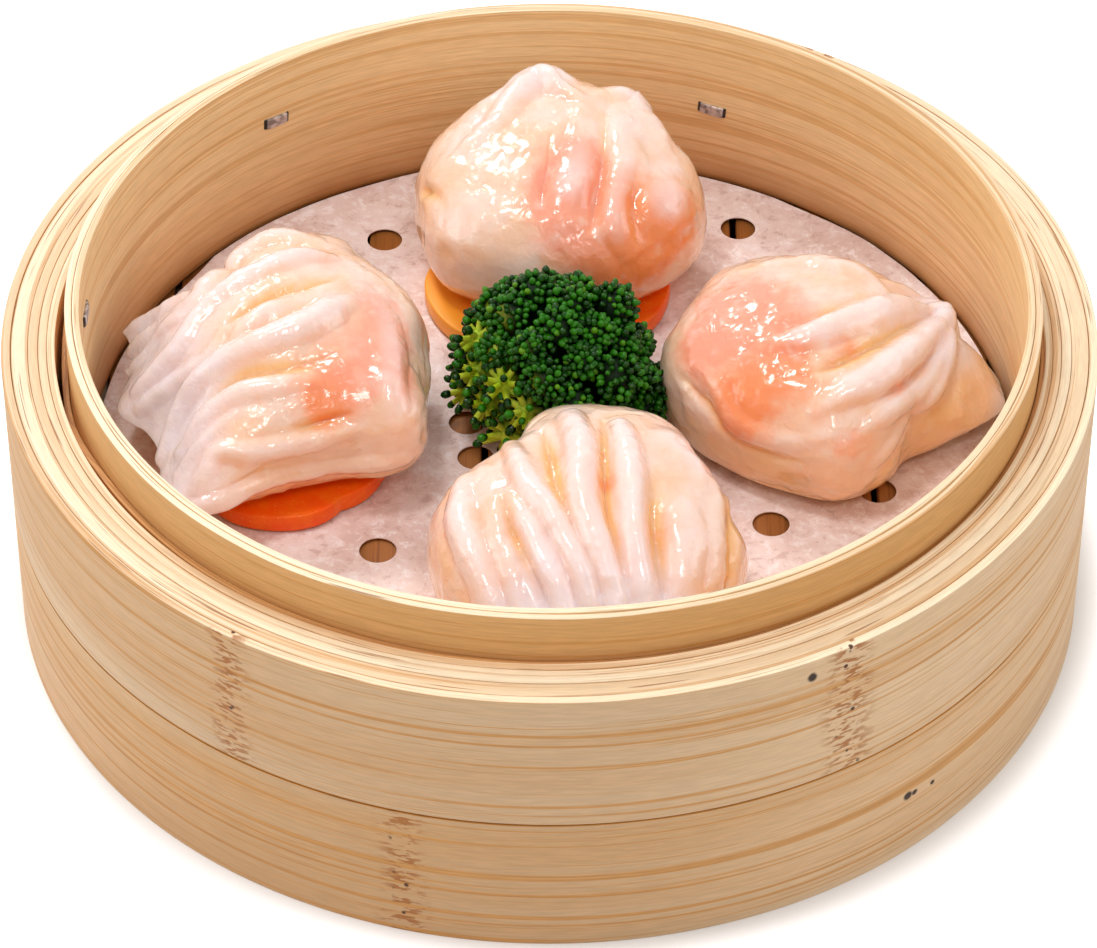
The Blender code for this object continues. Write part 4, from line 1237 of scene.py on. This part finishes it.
for shape in DUMPLINGS:
    dumpling = copy_of(pattern_ball)
    skin, thin = pouch(shape, turns, slopes)
    pleats, bends = fold_lift(shape, skin)
    put_points(dumpling, skin)
    normals = np.array([vertex.normal[:] for vertex in dumpling.data.vertices])
    lift = pleats + bends + wet_ripples(skin) * (skin[:, 2] > FOOT_ZONE)
    finished = skin + normals * lift[:, None]
    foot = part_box(shape["name"])[0][2]
    place_at = np.array([shape["middle"][0] * MM, shape["middle"][1] * MM, foot])
    finished[:, 2] = np.clip(finished[:, 2], 0.0, None)
    put_points(dumpling, finished * MM + place_at)
    filling = np.zeros(len(skin))
    carrot_tint = np.zeros(len(skin))
    # How much painted shade, seen through the clear edge, each point takes.
    shade_seen_through = np.zeros(len(skin))
    for x, y, z, half in shape.get("shade_seen_through", []):
        shade_seen_through += np.exp(-((skin - np.array([x, y, z])) ** 2).sum(1) / half**2)
    for x, y, half, strength, orange in shape["filling"]:
        spot = np.array([x, y, skin_height(shape, x, y)])
        glow = strength * np.exp(-((skin - spot) ** 2).sum(1) / half**2)
        filling += glow * (skin[:, 2] > FOOT_ZONE)
        carrot_tint += glow * orange
    keep_on_mesh(dumpling, "fold", pleats + bends)
    keep_on_mesh(dumpling, "low", np.clip(1 - skin[:, 2] / (LOW_SHARE * shape["height"]), 0, 1))
    keep_on_mesh(dumpling, "crimp", thin)
    keep_on_mesh(dumpling, "filling", filling)
    keep_on_mesh(dumpling, "orange", carrot_tint / np.maximum(filling, 0.05))
    keep_on_mesh(dumpling, "shade_seen_through", shade_seen_through)
    only(dumpling)
    bpy.ops.object.shade_smooth()
    name = shape["name"].replace("dumpling", "har_gow")
    settled(dumpling, name, skin_finish, [shape["name"]])
bpy.data.objects.remove(pattern_ball)

# %% [markdown]
# ## Broccoli
# The floret is a dome of small side florets, each a cushion of buds on a branch. On one side
# the buds stand apart on short stalks and the yellow-green branches show. One bud is modelled
# and copied over every cushion, and the branches are cones from the stalk outwards.

# %% Broccoli finishes
broccoli_low, broccoli_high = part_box("broccoli")
heart = Vector([(low + high) / 2 for low, high in zip(broccoli_low, broccoli_high)])
HEART_HEIGHT = 8 * MM
heart.z = broccoli_low[2] + HEART_HEIGHT

bud_finish, tree, shader, where = new_material("broccoli_buds")
shade = mixed(tree, rise(tree, kept(tree, "ripeness"), 0.0, 1.0), colour(8, 54, 2), colour(40, 116, 4))
shade = painted(tree, shade, colour(130, 168, 30), kept(tree, "ripeness"), 0.93, 1.0, 0.4)
# Painted shade: the lower part of each bud is darkened to near-black, as the shade between crowded buds.
shade = painted(tree, shade, colour(5, 26, 3), kept(tree, "tip"), 0.5, -0.5)
sheen = noisy(tree, where, 1800.0, detail=2.0)
shade = painted(tree, shade, colour(120, 160, 80), sheen, 0.55, 0.75, 0.3)
feed(tree, shader, {"Base Color": shade, "Roughness": 0.2, "Specular IOR Level": 0.2})
roughen(tree, shader, sheen, 0.5, 0.2 * MM)

stem_finish, tree, shader, where = new_material("broccoli_stems")
patches = noisy(tree, where, 260.0, detail=3.0)
pale_stem = mixed(tree, rise(tree, patches, 0.35, 0.65), colour(158, 182, 18), colour(196, 212, 70))
x, y, z = split(tree, where)
# Painted shade: the branches are near-black green inside the floret, as the shade between the cushions; only
# on the open side and below the heart do they show their pale yellow-green.
outward = calc(tree, "ADD", times(tree, x, -0.9), times(tree, y, -0.45))
open_side = rise(tree, outward, 3.5 * MM, 7.5 * MM)
under = rise(tree, z, heart.z - 1 * MM, heart.z - 5 * MM)
stem_share = calc(tree, "MAXIMUM", open_side, under)
feed(
    tree,
    shader,
    {
        "Base Color": mixed(tree, stem_share, colour(8, 30, 4), pale_stem),
        "Roughness": 0.6,
        "Specular IOR Level": 0.2,
        "Subsurface Weight": 0.2,
        "Subsurface Scale": 0.002,
    },
)
print("broccoli heart at", [round(part, 4) for part in heart])

# %% Place the side florets and their buds
BUD_RADIUS = 0.61 * MM
SIDE_FLORETS = 44
CUSHION_BUDS = 56
LOOSE_BUDS = 14
BUD_SCATTER = 0.14
STALK_RADIUS = 6.5 * MM
# centre from the heart, way it faces, size (mm)
EXTRA_FLORETS = [((15.6, -3.4, 0.5), (0.9, -0.3, 0.4), 3.3), ((14.0, -6.6, -2.0), (0.8, -0.5, 0.2), 2.8)]
half_wide, half_deep = [(broccoli_high[axis] - broccoli_low[axis]) / 2 for axis in (0, 1)]
dome = Vector((half_wide, half_deep, broccoli_high[2] - heart.z + 1.5 * MM))
open_way = Vector((-0.88, -0.47, 0.0))
chance = random.Random(11)
golden_turn = math.pi * (3 - math.sqrt(5))


def spread_directions(count, depth):
    """Directions that cover a cap evenly, from its top down; depth 2 would be a whole ball."""
    for index in range(count):
        lean = 1 - depth * (index + 0.5) / count
        turn = index * golden_turn
        flat = math.sqrt(max(0.0, 1 - lean * lean))
        yield Vector((flat * math.cos(turn), flat * math.sin(turn), lean))


florets = []
for way in spread_directions(SIDE_FLORETS, 1.3):
    loose = way.dot(open_way) > 0.5 and way.z < 0.5
    reach = Vector([part * size for part, size in zip(way, dome)]) * chance.uniform(0.82, 0.92)
    florets.append((heart + reach, way, chance.uniform(2.4, 3.4) * MM, loose))
for centre, facing, size in EXTRA_FLORETS:
    florets.append((heart + Vector(centre) * MM, Vector(facing).normalized(), size * MM, False))

bud_places = []
stalks = []
for centre, facing, size, loose in florets:
    aim = facing.to_track_quat("Z", "Y")
    for local in spread_directions(LOOSE_BUDS if loose else CUSHION_BUDS, 1.15):
        scatter = Vector([chance.uniform(-BUD_SCATTER, BUD_SCATTER) for _ in range(3)])
        out = aim @ (local + scatter).normalized()
        reach = size * (chance.uniform(1.15, 1.6) if loose else chance.uniform(0.86, 1.16))
        bud_size = chance.uniform(0.9, 1.3) if loose else chance.uniform(0.72, 1.12)
        bud_places.append((centre + out * reach, out, bud_size))
        if loose:
            stalks.append((centre, centre + out * reach, 0.75 * MM, 0.45 * MM))
    stalks.append((heart - Vector((0.0, 0.0, 3 * MM)), centre, 2.2 * MM, size * 0.7))
print("side florets:", len(florets), "buds:", len(bud_places))

# %% Model one bud and copy it
select_nothing()
bpy.ops.mesh.primitive_uv_sphere_add(segments=8, ring_count=5, radius=1.0)
bud = bpy.context.object
bud_points = points_of(bud)
bud_points[:, :2] *= 1 - 0.22 * np.clip(-bud_points[:, 2:], 0, 1)
bud_points[:, 2] *= 1.5
bud_faces = [list(face.vertices) for face in bud.data.polygons]
bpy.data.objects.remove(bud)
all_points = []
all_faces = []
for centre, out, size in bud_places:
    aim = np.array(out.to_track_quat("Z", "Y").to_matrix())
    first = len(all_points) * len(bud_points)
    all_faces.extend([[corner + first for corner in face] for face in bud_faces])
    all_points.append(bud_points @ aim.T * BUD_RADIUS * size + np.array(centre))
mesh = bpy.data.meshes.new("broccoli_buds")
mesh.from_pydata(np.concatenate(all_points).tolist(), [], all_faces)
buds = bpy.data.objects.new("broccoli_buds", mesh)
bpy.context.scene.collection.objects.link(buds)
keep_on_mesh(buds, "ripeness", np.repeat([chance.random() for _ in bud_places], len(bud_points)))
keep_on_mesh(buds, "tip", np.tile(bud_points[:, 2], len(bud_places)))
only(buds)
bpy.ops.object.shade_smooth()
settled(buds, "broccoli_buds", bud_finish, ["broccoli"])
print("buds:", len(all_points), "faces:", len(mesh.polygons))

# %% Branches and stalk
branches = []
for start, end, wide, narrow in stalks:
    select_nothing()
    run = end - start
    sides = 12 if wide > 1 * MM else 6
    bpy.ops.mesh.primitive_cone_add(
        vertices=sides, radius1=wide, radius2=narrow, depth=run.length, location=start + run / 2,
        rotation=run.to_track_quat("Z", "Y").to_euler(),
    )
    branches.append(bpy.context.object)
for centre, facing, size, loose in florets:
    core = size * (0.62 if loose else 0.84)
    bpy.ops.mesh.primitive_uv_sphere_add(segments=14, ring_count=8, radius=core, location=centre)
    branches.append(bpy.context.object)
stalk_middle = (heart.x, heart.y, (heart.z + broccoli_low[2]) / 2)
stalk_length = heart.z - broccoli_low[2]
bpy.ops.mesh.primitive_cylinder_add(
    vertices=24, radius=STALK_RADIUS, depth=stalk_length, location=stalk_middle
)
stalk = joined_up([bpy.context.object] + branches)
smoothed(stalk, 60)
settled(stalk, "broccoli_stems", stem_finish)

# %% [markdown]
# ## Floor and light
# A white sheet lies under three small soft lights, behind, above and in front, and two broad
# fills at the sides. The small lights give the wet skins their white glints. The sky is
# brighter in a reflection than it is as a light, so a wet edge turns white and not grey. The
# sheet glows a little for the camera alone, from just past the basket outwards, which keeps
# it white without lighting the basket from below.

# %% Stage and lights
TABLE_SIZE = 6.0
TABLE_GLOW = 0.6
GLOW_START, GLOW_END = 0.084, 0.092  # distance from the middle
select_nothing()
bpy.ops.mesh.primitive_plane_add(size=TABLE_SIZE, location=(0.0, 0.0, 0.0))
table = bpy.context.object
table.name = "table"
table_finish, tree, shader, where = new_material("table_white")
feed(
    tree,
    shader,
    {
        "Base Color": (0.93, 0.93, 0.93, 1.0),
        "Roughness": 0.9,
        "Emission Color": (1.0, 1.0, 1.0, 1.0),
    },
)
seen = place(tree, "ShaderNodeLightPath", {}).outputs["Is Camera Ray"]
away = place(tree, "ShaderNodeVectorMath", {0: where}, operation="LENGTH").outputs["Value"]
lift = times(tree, seen, rise(tree, away, GLOW_START, GLOW_END, 0.0, TABLE_GLOW))
feed(tree, shader, {"Emission Strength": lift})
table.data.materials.append(table_finish)


def soft_light(name, direction, distance, size, power):
    data = bpy.data.lights.new(name, "AREA")
    data.shape = "DISK"
    data.size = size
    data.energy = power
    light = bpy.data.objects.new(name, data)
    aim = Vector(direction).normalized()
    light.location = aim * distance + Vector((0.0, 0.0, 0.03))
    light.rotation_euler = (-aim).to_track_quat("-Z", "Y").to_euler()
    bpy.context.scene.collection.objects.link(light)


soft_light("back_light", (-0.35, 0.6, 0.75), 0.9, 0.2, 2.6)
soft_light("top_light", (-0.2, -0.05, 1.0), 0.9, 0.17, 2.2)
soft_light("front_light", (0.15, -0.55, 0.85), 0.9, 0.15, 0.8)
soft_light("left_fill", (-1.0, -0.2, 0.5), 1.1, 0.6, 1.5)
soft_light("right_fill", (1.0, -0.15, 0.5), 1.1, 0.6, 1.5)
world = bpy.data.worlds.new("studio")
world.use_nodes = True
FILL_LIGHT = 0.52
SHEEN_LIGHT = 1.0
sky = world.node_tree
in_gloss = sky.nodes.new("ShaderNodeLightPath").outputs["Is Glossy Ray"]
brightness = rise(sky, in_gloss, 0.0, 1.0, FILL_LIGHT, SHEEN_LIGHT)
feed(sky, sky.nodes["Background"], {"Color": (1.0, 1.0, 1.0, 1.0), "Strength": brightness})
bpy.context.scene.world = world
bpy.context.scene.view_settings.view_transform = "Standard"
